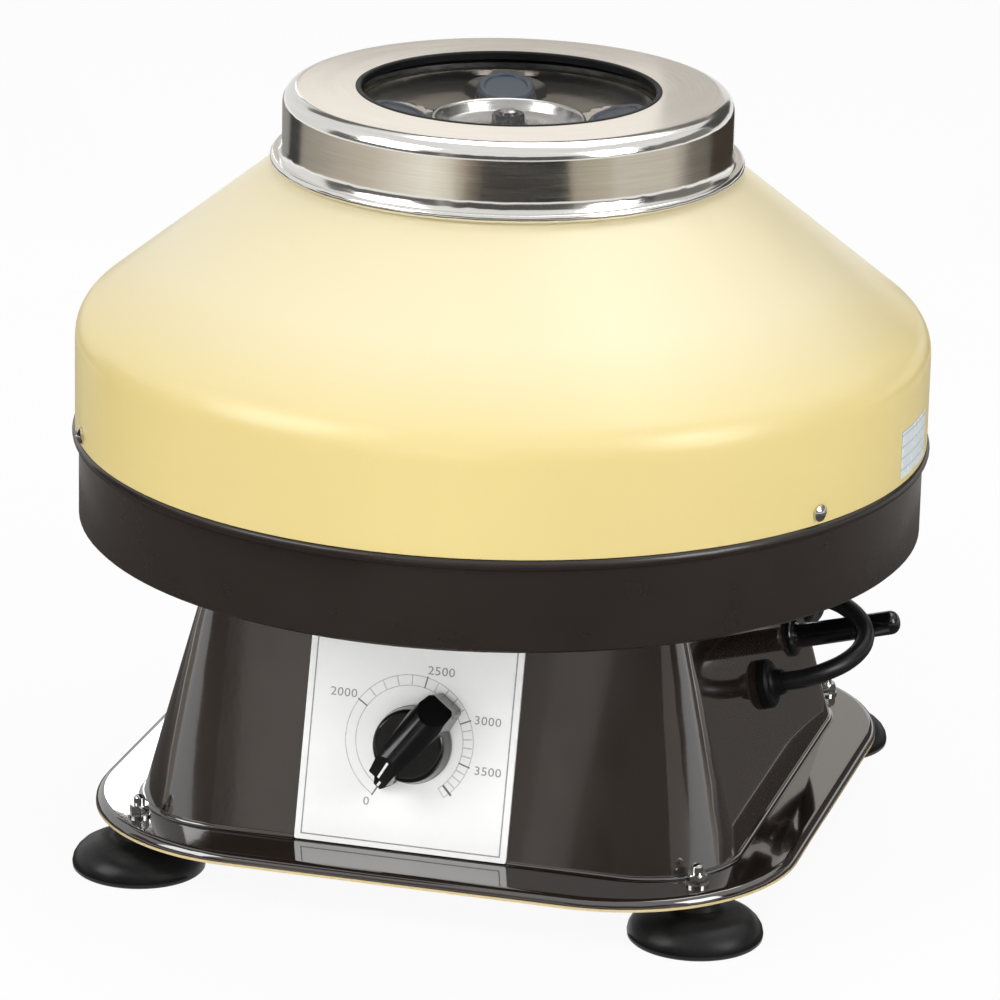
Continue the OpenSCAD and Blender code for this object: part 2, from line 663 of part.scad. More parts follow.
module shaft_seal() color([0.08, 0.08, 0.08]) rotate_extrude() polygon([
    [spindle_top_d / 2 + 0.5, bowl_floor - 1.0], [seal_r - 4.1, bowl_floor - 1.0],
    [seal_r - 4.1, bowl_floor + 2.05], [seal_r, bowl_floor + 2.05], [seal_r, bowl_floor + 4],
    [spindle_top_d / 2 + 3, bowl_floor + 7], [spindle_top_d / 2 + 0.5, bowl_floor + 7]]);

// Wiring in the housing

module terminal_block() color([0.90, 0.88, 0.82]) translate([72, -24, plate_top + 0.1]) difference() {
    cube([16, 44, 14]);
    for (k = [0 : 3]) translate([8, 5.5 + 11 * k, 5]) cylinder(r = 2.2, h = 12);
    for (k = [0 : 2]) translate([-1, 10.2 + 11 * k, 8]) cube([18, 1.6, 8]);
    for (k = [0 : 3]) translate([-1, 5.5 + 11 * k, 5.5]) rotate([0, 90, 0]) cylinder(r = 1.7, h = 18);
}

lead_r = 1.2;
leads = [
    [[103.0, 5.4, 64.2], [98, 6.5, 58], [96, 4, 46], [96.5, -4, 34], [93.5, -7.5, 29.8],
     [89.5, -7.5, 29.3], [86, -7.5, 29.3]],
    [[103.0, 2.6, 64.2], [100, 0, 56], [99.5, -6, 44], [98.5, -14, 34], [94, -18.5, 29.8],
     [89.5, -18.5, 29.3], [86, -18.5, 29.3]],
    [[73.5, -18.5, 29.3], [70, -18.5, 29.3], [62, -25, 29.6], [45, -52, 28.6], [25, -80, 28],
     [6, -99, 28.6], [-3.6, -104.6, 32], [-5.3, -105.1, 36.4]],
    [[73.5, -7.5, 29.3], [70, -7.5, 29.3], [66, -4.5, 31], [64, -1, 37], [63, 0, 45],
     [61.5, 0, 52], [57.2, 0, 54.7]]
];

module internal_leads() color([0.45, 0.16, 0.10]) for (p = leads) {
    q = smooth(p, 3);
    m = len(q);
    tube(q, lead_r, 8, unit(q[1] - q[0]), unit(q[m - 1] - q[m - 2]));
}

// Rotor

module rotor_shaft() color([0.80, 0.81, 0.83]) {
    translate([0, 0, bell_low - 0.5]) cylinder(d = shaft_d, h = body_top + 12.2 - bell_low);
    translate([0, 0, body_top + 11.7]) cylinder(d = spindle_top_d, h = hub_top - 12 - body_top - 11.7);
    translate([0, 0, hub_top - 12.5]) cylinder(d = thread_d + 4, h = 12.5);
    translate([0, 0, hub_top - 1]) cylinder(d = thread_d, h = 2.5 + washer_h + nut_h + 0.8);
    translate([0, 0, disc_floor + washer_h + nut_h + 0.8])
        cylinder(r1 = thread_d / 2, r2 = thread_d / 2 - 1, h = 0.8);
}

module armature_core() color([0.40, 0.41, 0.44]) translate([0, 0, core_low]) difference() {
    cylinder(r = armature_r, h = core_h);
    translate([0, 0, -1]) cylinder(d = shaft_d + 0.04, h = core_h + 2);
    for (a = [0 : 30 : 330]) rotate([0, 0, a]) translate([armature_r - 8, -1.2, -1])
        cube([10, 2.4, core_h + 2]);
}

module armature_windings() color([0.62, 0.33, 0.16]) {
    translate([0, 0, core_low - 3.6]) ring(24, shaft_d / 2 + 3, 3.55);
    translate([0, 0, core_low + core_h + 0.05]) ring(24, shaft_d / 2 + 3, 5);
}

module commutator() color([0.72, 0.45, 0.25]) translate([0, 0, comm_z]) difference() {
    cylinder(r = comm_r, h = comm_h);
    translate([0, 0, -1]) cylinder(d = shaft_d + 0.04, h = comm_h + 2);
    for (a = [0 : 30 : 330]) rotate([0, 0, a]) translate([comm_r - 2, -0.3, -1]) cube([4, 0.6, comm_h + 2]);
}

module cooling_fan() color([0.55, 0.56, 0.58]) translate([0, 0, core_low + core_h + 5.4]) {
    ring(40, shaft_d / 2 + 0.02, 1.2);
    ring(10, shaft_d / 2 + 0.02, 6);
    for (a = [0 : 36 : 324]) rotate([0, 0, a]) translate([16, -0.6, 1.1]) cube([22, 1.2, 4.6]);
}

module rotor_hub() color([0.66, 0.67, 0.69]) difference() {
    union() {
        translate([0, 0, hub_low]) cylinder(r = hub_r, h = hub_top - hub_low);
        translate([0, 0, hub_low]) cylinder(r = 34, h = carrier_z - hub_low - 0.05);
    }
    translate([0, 0, hub_low - 1]) cylinder(d = spindle_top_d + 0.04, h = hub_top - 12 - hub_low + 1);
    translate([0, 0, hub_top - 13]) cylinder(d = thread_d + 4.1, h = 20);
}

function dish_z(r) = dish_at_cap + (r - tube_circle) * dish_rise;

module rotor_dish() color([0.78, 0.78, 0.77]) difference() {
    rotate_extrude() polygon(concat(
        [[hub_r + 0.1, hub_top - 7], [hub_r + 3, hub_top - 7], [hub_r + 5, hub_top - 4],
         [hub_disc_r + 2, hub_top - 4], [dish_radius - 3, dish_z(dish_radius - 3) - dish_t],
         [dish_radius, dish_z(dish_radius) - dish_t]],
        arc(dish_radius - 1.2, dish_z(dish_radius) + 0.2, 1.2, 0, 120, 4),
        [[dish_radius - 4, dish_z(dish_radius - 4)], [hub_disc_r + 0.4, dish_z(hub_disc_r + 0.4)],
         [hub_disc_r + 0.4, hub_top - 0.1], [hub_r + 0.1, hub_top - 0.1]]));
    at_tubes() translate([0, 0, -30]) cylinder(d = sleeve_d + 0.1, h = 60);
    at_tubes() translate([0, 0, -cap_h - 0.6]) cylinder(r = cap_r + 0.9, h = 30);
    at_tubes() translate([0, 0, -5]) cylinder(r1 = cap_r + 0.9, r2 = cap_r + 9, h = 6.5);
}

module sleeve_carrier() color([0.60, 0.61, 0.63]) difference() {
    rotate_extrude() polygon([
        [hub_r + 0.1, carrier_z], [carrier_r - 2, carrier_z], [carrier_r - 2, carrier_z - 6],
        [carrier_r, carrier_z - 6], [carrier_r, carrier_z + carrier_t - 1.5],
        [carrier_r - 1.5, carrier_z + carrier_t], [hub_r + 0.1, carrier_z + carrier_t]]);
    at_tubes() translate([0, 0, -sleeve_length - 20]) cylinder(d = sleeve_d + 0.1, h = sleeve_length + 10);
}

module tube_sleeves() color([0.72, 0.73, 0.75]) at_tubes() difference() {
    translate([0, 0, -sleeve_length]) cylinder(d = sleeve_d, h = sleeve_length - cap_h - 0.1);
    translate([0, 0, 2 - sleeve_length]) cylinder(d = sleeve_d - 2 * sleeve_wall, h = sleeve_length);
}

module tube_caps() color([0.55, 0.62, 0.70]) at_tubes() {
    rotate_extrude() polygon([
        [0, -cap_h], [cap_r - 0.3, -cap_h], [cap_r, -cap_h + 0.5], [cap_r, -0.9], [cap_r - 1.0, 0],
        [cap_r - 3.0, 0], [cap_r - 3.6, -0.8], [0, -0.8]]);
    translate([0, 0, -12]) cylinder(d = sleeve_d - 2 * sleeve_wall - 0.1, h = 12 - cap_h + 0.05);
}

module hub_disc() color([0.84, 0.84, 0.84]) rotate_extrude() polygon(concat(
    [[thread_d / 2 + 0.1, hub_top + 0.05], [hub_disc_r - 3, hub_top + 0.05]],
    [[hub_disc_r, hub_top + 1.8]],
    arc(hub_disc_r - 1.6, hub_top + disc_rim - 0.2, 1.6, 0, 180, 8),
    [[hub_disc_r - 4.6, disc_floor + 0.4], [hub_disc_r - 6, disc_floor], [thread_d / 2 + 0.1, disc_floor]]));

module hub_washer() color([0.88, 0.88, 0.88]) translate([0, 0, disc_floor + 0.02])
    ring(9, thread_d / 2 + 0.1, washer_h - 0.04);

module hub_nut() color([0.14, 0.14, 0.15]) translate([0, 0, disc_floor + washer_h]) difference() {
    intersection() {
        hex(13, nut_h);
        cylinder(r1 = 11, r2 = 6.6, h = nut_h);
    }
    translate([0, 0, -1]) cylinder(d = thread_d + 0.04, h = 12);
}

// Knob: a round body with a bar that narrows towards its pointer tip

dial_foot = 0.4;
knob_base = dial_thick + 0.8;
knob_rest = 36;
bar_top = knob_base + knob_height;

module speed_knob() color([0.08, 0.08, 0.08]) at_knob() rotate([0, 0, -knob_rest]) difference() {
    union() {
        translate([0, 0, knob_base]) cylinder(d = knob_d, h = 2.4);
        translate([0, 0, knob_base + 2.4]) rotate_extrude() polygon(concat(
            [[0, 0], [knob_d / 2 - 0.1, 0], [knob_d / 2 - 0.9, 6.2]],
            arc(knob_d / 2 - 3.2, 6.2, 2.3, 0, 90, 7), [[0, 8.5]]));
        intersection() {
            translate([0, 0, knob_base]) linear_extrude(height = knob_height)
                polygon([[-6.8, 24.2], [-5.2, 25.6], [5.2, 25.6], [6.8, 24.2], [8.3, 13], [5.0, -18.7],
                    [-5.0, -18.7], [-8.3, 13]]);
            union() {
                translate([0, 40, bar_top - 9]) rotate([90, 0, 0]) cylinder(r = 9, h = 80);
                translate([-9, -40, knob_base]) cube([18, 80, knob_height - 9]);
            }
            translate([-20, 15, bar_top]) rotate([-38, 0, 0]) translate([0, -80, -60]) cube([40, 110, 60]);
            translate([-20, -7, bar_top]) rotate([33, 0, 0]) translate([0, -60, -60]) cube([40, 110, 60]);
        }
        intersection() {
            translate([0, 0, knob_base]) linear_extrude(height = 10)
                polygon([[-6.4, 14], [6.4, 14], [6.2, -14], [4.7, -19.6], [1.9, -24.7], [-1.9, -24.7],
                    [-4.7, -19.6], [-6.2, -14]]);
            translate([-20, -18.7, knob_base + 4.6]) rotate([25, 0, 0]) translate([0, -40, -30])
                cube([40, 80, 30]);
        }
    }
    translate([0, 0, knob_base - 1]) cylinder(d = 19, h = 4.6);
    cylinder(d = spindle_d + 0.04, h = knob_base + 14);
    translate([-0.55, -7, bar_top]) rotate([33, 0, 0]) translate([0, -13.1, -0.45]) cube([1.1, 10.9, 2]);
    translate([-0.55, -18.7, knob_base + 4.6]) rotate([25, 0, 0]) translate([0, -6.2, -0.35])
        cube([1.1, 5.2, 2]);
}

module knob_spindle() color([0.78, 0.78, 0.79]) at_knob()
    translate([0, 0, -15.5]) cylinder(d = spindle_d, h = knob_base + 13.8 + 15.5);

// Lid

module lid_ring() color([0.82, 0.82, 0.82]) {
    rotate_extrude($fn = 180) polygon(concat(
        [[opening_r, lid_under], [opening_r, lid_top]],
        arc(lid_out - lid_round, lid_top - lid_round, lid_round, 90, 0, 7),
        [[lid_out, lid_z + 9]],
        [[lid_out + 0.5, lid_z + 5.6], [lid_out + 1.6, lid_z + 3.6]],
        arc(flange_out - lid_roll, lid_z + lid_roll, lid_roll, 75, -140, 9),
        [[lid_in + 1.4, lid_z + 2.4], [lid_in + 0.4, lid_z + 4.4], [lid_in, lid_z + 7.5]],
        arc(lid_out - lid_round, lid_top - lid_round, lid_round - sheet, 0, 90, 6)));
    for (a = [45 : 90 : 315]) rotate([0, 0, a]) translate([window_stud_r, 0, retainer_z - 3.6])
        cylinder(d = window_stud_d, h = lid_under - retainer_z + 3.7);
}

module window_gasket() color([0.05, 0.05, 0.05]) rotate_extrude() polygon([
    [opening_r - 2.6, pane_top + 0.02], [pane_r + 1, pane_top + 0.02], [pane_r + 1, lid_under - 0.02],
    [opening_r - 0.05, lid_under - 0.02], [opening_r - 0.05, lid_top - 0.2],
    [opening_r - 0.6, lid_top + 0.3],
    [opening_r - 2.0, lid_top + 0.3], [opening_r - 2.6, lid_top - 0.3]]);

module window_pane() color([0.75, 0.80, 0.82, 0.35]) translate([0, 0, pane_z])
    cylinder(r = pane_r, h = pane_thick);

module window_retainer() color([0.70, 0.70, 0.69]) translate([0, 0, retainer_z - 0.02]) difference() {
    ring(window_stud_r + 4, 71, retainer_h);
    for (a = [45 : 90 : 315]) rotate([0, 0, a]) translate([window_stud_r, 0, -1])
        cylinder(d = window_stud_d + 0.4, h = 6);
}

module window_nuts() color([0.75, 0.75, 0.74]) for (a = [45 : 90 : 315]) rotate([0, 0, a])
    translate([window_stud_r, 0, retainer_z - 2.5]) difference() {
        hex(5.5, 2.45);
        translate([0, 0, -1]) cylinder(d = window_stud_d + 0.1, h = 6);
    }

// Mains lead

module cord_run() color([0.12, 0.12, 0.12])
    tube(run_path, cord_r, 10, unit(route_start), route_end);

module cord_coil() color([0.12, 0.12, 0.12])
    tube(coil_path, cord_r, 6, [0, 1, 0], [-1, 0, 0]);

module cord_tie() color([0.85, 0.85, 0.83]) translate([coil_x, coil_y, 0]) rotate([0, 0, tie_angle])
    difference() {
        translate([29.4, -4, 0.05]) cube([30.2, 8, coil_z + coil_pitch + cord_r + 1.1]);
        translate([30.0, -5, 0.65]) cube([29.0, 10, coil_z + coil_pitch + cord_r - 0.1]);
    }

module at_plug() translate(coil_last) rotate([0, -90, 0]) children();

module plug_body() color([0.09, 0.09, 0.09]) at_plug() difference() {
    rotate_extrude() polygon([[0, 0], [5.2, 0], [5.6, 3], [7.6, 14], [13.2, 18], [14.1, 21],
        [14.1, 50], [13.1, 52], [0, 52]]);
    for (s = [-1, 1]) translate([0, 9.5 * s, 44]) cylinder(r = 2.45, h = 17);
}

module plug_pins() color([0.78, 0.70, 0.48]) at_plug() for (s = [-1, 1]) translate([0, 9.5 * s, 0]) {
    translate([0, 0, 44.1]) cylinder(r = 2.4, h = 24);
    translate([0, 0, 68.0]) cylinder(r1 = 2.4, r2 = 1.4, h = 2);
}

base_plate();
stand_housing();
housing_brackets();
housing_screws();
suction_cup_front_left();
suction_cup_front_right();
suction_cup_rear_left();
suction_cup_rear_right();
foot_studs();
foot_nuts();
dial_plate();
speed_control();
control_nut();
cord_bushing();
cord_peg();
lower_bowl();
bowl_bolts();
bowl_nuts();
chamber_cover();
cover_screws();
rating_label();
motor_plate();
motor_isolators();
motor_body();
motor_upper_bell();
motor_lower_bell();
motor_bolts();
stator_core();
field_coils();
brush_holders();
carbon_brushes();
shaft_bearings();
shaft_seal();
terminal_block();
internal_leads();
rotor_shaft();
armature_core();
armature_windings();
commutator();
cooling_fan();
rotor_hub();
rotor_dish();
sleeve_carrier();
tube_sleeves();
tube_caps();
hub_disc();
hub_washer();
hub_nut();
speed_knob();
knob_spindle();
lid_ring();
window_gasket();
window_pane();
window_retainer();
window_nuts();
cord_run();
cord_coil();
cord_tie();
plug_body();
plug_pins();
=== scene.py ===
import logging
import math
from dataclasses import dataclass, replace
from enum import Enum
from typing import Iterable, Sequence

import bmesh
import bpy
from mathutils import Matrix, Vector


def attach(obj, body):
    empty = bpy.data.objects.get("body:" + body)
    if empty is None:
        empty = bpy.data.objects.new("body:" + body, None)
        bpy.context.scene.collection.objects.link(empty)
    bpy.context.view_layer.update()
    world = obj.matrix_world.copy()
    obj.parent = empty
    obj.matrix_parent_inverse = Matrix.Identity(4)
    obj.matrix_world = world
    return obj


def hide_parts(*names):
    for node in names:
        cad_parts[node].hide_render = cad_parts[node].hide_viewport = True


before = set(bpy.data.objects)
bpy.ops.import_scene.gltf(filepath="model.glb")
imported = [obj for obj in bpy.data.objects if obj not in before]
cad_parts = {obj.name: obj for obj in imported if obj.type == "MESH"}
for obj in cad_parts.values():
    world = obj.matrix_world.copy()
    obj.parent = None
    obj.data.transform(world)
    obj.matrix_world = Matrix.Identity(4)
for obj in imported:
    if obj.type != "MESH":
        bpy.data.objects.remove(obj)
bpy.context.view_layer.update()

LOG = logging.getLogger("centrifuge")
MM = 0.001
Point = tuple[float, float, float]
Flat = tuple[float, float]
Mark = tuple[float, Point]
Strip = tuple[Sequence[Flat], float, bool]
Colour = tuple[float, float, float, float]
Socket = bpy.types.NodeSocket


def srgb(red: float, green: float, blue: float) -> Colour:
    """A colour for a shader from a paint chart's three numbers.

    Args:
        red: Red from 0 to 255, as on a screen.
        green: Green from 0 to 255.
        blue: Blue from 0 to 255.

    Returns:
        Linear red, green, blue and an alpha of 1.
    """

    def linear(value: float) -> float:
        """One channel from screen to linear light."""
        v = value / 255
        return v / 12.92 if v <= 0.04045 else ((v + 0.055) / 1.055) ** 2.4

    return (linear(red), linear(green), linear(blue), 1.0)


def shade(colour: Sequence[float], factor: float) -> Colour:
    """The same colour, lighter or darker by a factor."""
    return (colour[0] * factor, colour[1] * factor, colour[2] * factor, 1.0)


# Shader building


class Graph:
    """Short ways to add nodes to one material's tree."""

    def __init__(self, material: bpy.types.Material) -> None:
        """Starts from an empty tree with a Principled shader on its output.

        Args:
            material: The material whose nodes are made.
        """
        material.use_nodes = True
        self.tree = material.node_tree
        self.tree.nodes.clear()
        self.out = self.tree.nodes.new("ShaderNodeOutputMaterial")
        self.skin = self.tree.nodes.new("ShaderNodeBsdfPrincipled")
        self.link(self.skin.outputs[0], self.out.inputs["Surface"])

    def link(self, start: Socket, end: Socket) -> None:
        """Joins an output to an input."""
        self.tree.links.new(start, end)

    def add(self, kind: str, **values: object) -> bpy.types.Node:
        """Adds a node.

        Args:
            kind: The node's type without its ShaderNode prefix.
            **values: Properties of the node, such as its operation.

        Returns:
            The new node.
        """
        node = self.tree.nodes.new("ShaderNode" + kind)
        for name, value in values.items():
            setattr(node, name, value)
        return node

    def set(self, name: str, value: object) -> None:
        """Sets one plain socket of the Principled shader."""
        self.skin.inputs[name].default_value = value

    def place(self) -> Socket:
        """The object's own coordinates, which are the frame's metres."""
        return self.add("TexCoord").outputs["Object"]

    def fill(self, end: Socket, value: object) -> None:
        """Links a socket to an input, or sets the input to a plain value.

        Args:
            end: The input.
            value: A socket, number or colour.
        """
        if isinstance(value, Socket):
            self.link(value, end)
        else:
            end.default_value = value

    def blend(self, share: Socket | float, first: Socket, second: Socket) -> None:
        """Puts a mix of two shaders on the material.

        Args:
            share: The share of the second.
            first: The shader at 0.
            second: The shader at 1.
        """
        mix = self.add("MixShader")
        for end, value in zip(mix.inputs, (share, first, second)):
            self.fill(end, value)
        self.link(mix.outputs[0], self.out.inputs["Surface"])

    def maths(self, operation: str, first: object, second: object = 0.0) -> Socket:
        """One sum on sockets or numbers.

        Args:
            operation: The Math node's operation, such as MULTIPLY.
            first: A socket or a number.
            second: A socket or a number.

        Returns:
            The result's socket.
        """
        node = self.add("Math", operation=operation)
        self.fill(node.inputs[0], first)
        self.fill(node.inputs[1], second)
        return node.outputs[0]

    def noise(self, vector: Socket, scale: float, detail: float = 2.0,
              rough: float = 0.5) -> Socket:
        """Soft noise from 0 to 1.

        Args:
            vector: Where it is read.
            scale: Bumps per metre, roughly.
            detail: Octaves of finer noise.
            rough: Strength of the finer octaves.

        Returns:
            The noise's value.
        """
        node = self.add("TexNoise")
        node.inputs["Scale"].default_value = scale
        node.inputs["Detail"].default_value = detail
        node.inputs["Roughness"].default_value = rough
        self.link(vector, node.inputs["Vector"])
        return node.outputs[0]

    def span(self, value: Socket, low: float, high: float, start: float = 0.32,
             end: float = 0.68) -> Socket:
        """Stretches a value, as a rule a noise's middle range, to low and high.

        Args:
            value: The value to stretch.
            low: What it becomes at start.
            high: What it becomes at end.
            start: The value that becomes low.
            end: The value that becomes high.

        Returns:
            The stretched value.
        """
        node = self.add("MapRange")
        self.link(value, node.inputs["Value"])
        for name, number in (("From Min", start), ("From Max", end), ("To Min", low),
                             ("To Max", high)):
            node.inputs[name].default_value = number
        return node.outputs["Result"]

    def tint(self, factor: Socket, first: Colour | Socket, second: Colour | Socket) -> Socket:
        """A colour between two, by a factor from 0 to 1.

        Args:
            factor: The share of the second colour.
            first: The colour at 0.
            second: The colour at 1.

        Returns:
            The mixed colour.
        """
        node = self.add("Mix", data_type="RGBA")
        self.link(factor, node.inputs[0])
        self.fill(node.inputs[6], first)
        self.fill(node.inputs[7], second)
        return node.outputs[2]

    def vary(self, value: Socket, colour: Colour, low: float, high: float, rough: Flat) -> None:
        """Lets the shader's colour and roughness follow one value.

        Args:
            value: The value, as a rule a noise.
            colour: The colour before it is varied.
            low: Its factor where the value is low.
            high: Its factor where the value is high.
            rough: Roughness at both.
        """
        self.link(self.tint(self.span(value, 0, 1), shade(colour, low), shade(colour, high)),
                  self.skin.inputs["Base Color"])
        self.link(self.span(value, *rough), self.skin.inputs["Roughness"])

    def stretch(self, vector: Socket, sizes: Point) -> Socket:
        """Scales coordinates differently along each axis.

        Args:
            vector: Plain coordinates.
            sizes: The scale along x, y and z.

        Returns:
            The new coordinates.
        """
        node = self.add("VectorMath", operation="MULTIPLY")
        self.link(vector, node.inputs[0])
        node.inputs[1].default_value = sizes
        return node.outputs[0]

    def axes(self, vector: Socket) -> list[Socket]:
        """Splits a vector.

        Args:
            vector: The vector.

        Returns:
            Its x, y and z.
        """
        node = self.add("SeparateXYZ")
        self.link(vector, node.inputs[0])
        return list(node.outputs)

    def vector(self, *parts: Socket) -> Socket:
        """Joins numbers to a vector.

        Args:
            *parts: Its x and y, and its z where it isn't 0.

        Returns:
            The vector.
        """
        node = self.add("CombineXYZ")
        for part, end in zip(parts, node.inputs):
            self.link(part, end)
        return node.outputs[0]

    def round_the_shaft(self, vector: Socket, across: float, round_: float, up: float) -> Socket:
        """Coordinates that follow turning marks: radius, angle and height, each with a scale.

        Args:
            vector: Plain coordinates.
            across: Scale along the radius.
            round_: Scale around the axis.
            up: Scale along the axis.

        Returns:
            The new coordinates.
        """
        x, y, z = self.axes(vector)
        radius = self.maths("SQRT", self.maths("ADD", self.maths("MULTIPLY", x, x),
                                               self.maths("MULTIPLY", y, y)))
        turn = self.add("VectorMath", operation="NORMALIZE")
        self.link(self.vector(x, y), turn.inputs[0])
        turn_x, turn_y, _ = self.axes(turn.outputs[0])
        height = self.maths("ADD", self.maths("MULTIPLY", z, up),
                            self.maths("MULTIPLY", turn_y, round_))
        return self.vector(self.maths("MULTIPLY", radius, across),
                           self.maths("MULTIPLY", turn_x, round_), height)

    def bump(self, height: Socket, strength: float, depth: float) -> None:
        """Adds relief to the shader's normal.

        Args:
            height: The relief from 0 to 1.
            strength: How much of it shows.
            depth: Its depth in metres.
        """
        node = self.add("Bump")
        node.inputs["Strength"].default_value = strength
        node.inputs["Distance"].default_value = depth
        self.link(height, node.inputs["Height"])
        self.link(node.outputs[0], self.skin.inputs["Normal"])


@dataclass(frozen=True)
class Finish:
    """A surface finish, made once and shared by every piece that has it."""

    name: str
    colour: Colour = (0.5, 0.5, 0.5, 1.0)

    def material(self) -> bpy.types.Material:
        """The Blender material of this finish.

        Returns:
            The material, made on the first call.
        """
        found = bpy.data.materials.get("finish_" + self.name)
        if found is None:
            found = bpy.data.materials.new("finish_" + self.name)
            self.paint(Graph(found))
        return found

    def paint(self, g: Graph) -> None:
        """Builds the nodes in the way of each finish."""
        raise NotImplementedError

    def on(self, *pieces: bpy.types.Object) -> None:
        """Puts this finish on whole pieces.

        Args:
            *pieces: The pieces.
        """
        for piece in pieces:
            piece.data.materials.clear()
            piece.data.materials.append(self.material())
            if piece.type == "MESH":
                for face in piece.data.polygons:
                    face.material_index = 0


@dataclass(frozen=True)
class StovedEnamel(Finish):
    """Sprayed and baked enamel: slight orange peel, slow tone changes and a clear top coat.

    `second` is the tone above (or below, where fade_to is lower) the heights fade_from to
    fade_to, in millimetres: painted sheen that pales a crown, or a painted highlight along an edge.
    """

    rough: Flat = (0.18, 0.28)
    mottle: float = 0.05
    peel: float = 0.06
    coat: float = 0.6
    coat_rough: float = 0.04
    ior: float = 1.5
    second: Colour | None = None
    fade_from: float = 0.0
    fade_to: float = 1.0
    cloud_scale: float = 9.0
    haze_scale: float = 38.0
    peel_scale: float = 420.0
    peel_depth: float = 0.00018

    def paint(self, g: Graph) -> None:
        """Tone, haze and orange peel from three scales of noise.

        Args:
            g: The material's nodes.
        """
        at = g.place()
        tone = g.tint(g.span(g.noise(at, self.cloud_scale, 3.0), 0, 1),
                      shade(self.colour, 1 - self.mottle), shade(self.colour, 1 + self.mottle))
        # The second tone is painted light by height: sheen toward a crown, or a highlight along an
        # edge.
        if self.second is not None:
            fade = g.span(g.axes(at)[2], 0, 1, self.fade_from * MM, self.fade_to * MM)
            tone = g.tint(fade, tone, self.second)
        g.link(tone, g.skin.inputs["Base Color"])
        haze = g.noise(at, self.haze_scale, 4.0, 0.6)
        g.link(g.span(haze, *self.rough), g.skin.inputs["Roughness"])
        g.set("Coat Weight", self.coat)
        g.set("Coat Roughness", self.coat_rough)
        g.set("IOR", self.ior)
        g.bump(g.noise(at, self.peel_scale, 1.5), self.peel, self.peel_depth)


@dataclass(frozen=True)
class SpunSteel(Finish):
    """Stainless sheet spun on a lathe and polished: fine marks that run round the shaft."""

    rough: Flat = (0.14, 0.24)
    grain: float = 0.10
    marks: float = 1900.0
    directional: float = 0.55
    broad_marks: float = 90.0

    def paint(self, g: Graph) -> None:
        """Streaks round the axis in tone, roughness and relief.

        Args:
            g: The material's nodes.
        """
        at = g.place()
        fine = g.noise(g.round_the_shaft(at, self.marks, 3.0, self.marks), 1.0, 3.0, 0.7)
        broad = g.noise(g.round_the_shaft(at, self.broad_marks, 1.5, self.broad_marks), 1.0, 2.0)
        tone = g.maths("ADD", g.maths("MULTIPLY", fine, 0.6), g.maths("MULTIPLY", broad, 0.4))
        g.vary(tone, self.colour, 0.90, 1.06, self.rough)
        g.set("Metallic", 1.0)
        g.set("Anisotropic", self.directional)
        tangent = g.add("Tangent", direction_type="RADIAL", axis="Z")
        g.link(tangent.outputs[0], g.skin.inputs["Tangent"])
        g.bump(fine, self.grain, 0.00004)


@dataclass(frozen=True)
class BrightMetal(Finish):
    """Plated or machined metal without a direction: faint smears and tiny pits."""

    rough: Flat = (0.10, 0.22)
    pits: float = 0.05
    scale: float = 260.0

    def paint(self, g: Graph) -> None:
        """Smears in tone and roughness, pits in relief.

        Args:
            g: The material's nodes.
        """
        at = g.place()
        g.vary(g.noise(at, self.scale, 3.0, 0.6), self.colour, 0.86, 1.08, self.rough)
        g.set("Metallic", 1.0)
        g.bump(g.noise(at, self.scale * 9, 2.0), self.pits, 0.00005)


@dataclass(frozen=True)
class DullSteel(Finish):
    """Plain or zinc-plated steel sheet: clouded, with scratches that cross it."""

    rough: Flat = (0.32, 0.52)
    flake_scale: float = 170.0
    scratches: Point = (40.0, 900.0, 900.0)

    def paint(self, g: Graph) -> None:
        """Zinc flakes from Voronoi cells, scratches from stretched noise.

        Args:
            g: The material's nodes.
        """
        at = g.place()
        flakes = g.add("TexVoronoi")
        flakes.inputs["Scale"].default_value = self.flake_scale
        g.link(at, flakes.inputs["Vector"])
        grey = g.add("RGBToBW")
        g.link(flakes.outputs["Color"], grey.inputs[0])
        scratch = g.noise(g.stretch(at, self.scratches), 1.0, 2.0)
        tone = g.maths("ADD", g.maths("MULTIPLY", grey.outputs[0], 0.35),
                       g.maths("MULTIPLY", scratch, 0.65))
        g.vary(tone, self.colour, 0.82, 1.12, self.rough)
        g.set("Metallic", 0.9)
        g.bump(scratch, 0.08, 0.00005)


@dataclass(frozen=True)
class SoftRubber(Finish):
    """Black rubber: nearly matt, dusty in patches, with a fine moulded grain."""

    rough: Flat = (0.38, 0.60)
    grain: float = 0.12
    shine: float = 0.3
    dust_scale: float = 60.0
    grain_scale: float = 1500.0

    def paint(self, g: Graph) -> None:
        """Dust in tone, grain in relief.

        Args:
            g: The material's nodes.
        """
        at = g.place()
        g.vary(g.noise(at, self.dust_scale, 5.0, 0.65), self.colour, 1.0, 1.9, self.rough)
        g.set("Specular IOR Level", self.shine)
        g.bump(g.noise(at, self.grain_scale, 2.0), self.grain, 0.00008)


@dataclass(frozen=True)
class MouldedPlastic(Finish):
    """Thermoset or nylon moulding: even colour, slight flow marks and a soft shine."""

    rough: Flat = (0.14, 0.24)
    coat: float = 0.3
    flow: Point = (90.0, 90.0, 200.0)

    def paint(self, g: Graph) -> None:
        """Flow marks in tone and roughness.

        Args:
            g: The material's nodes.
        """
        at = g.place()
        flow = g.noise(g.stretch(at, self.flow), 1.0, 4.0, 0.6)
        g.vary(flow, self.colour, 0.85, 1.2, self.rough)
        g.set("Coat Weight", self.coat)
        g.set("Coat Roughness", 0.08)
        g.bump(g.noise(at, 700.0, 2.0), 0.04, 0.0001)


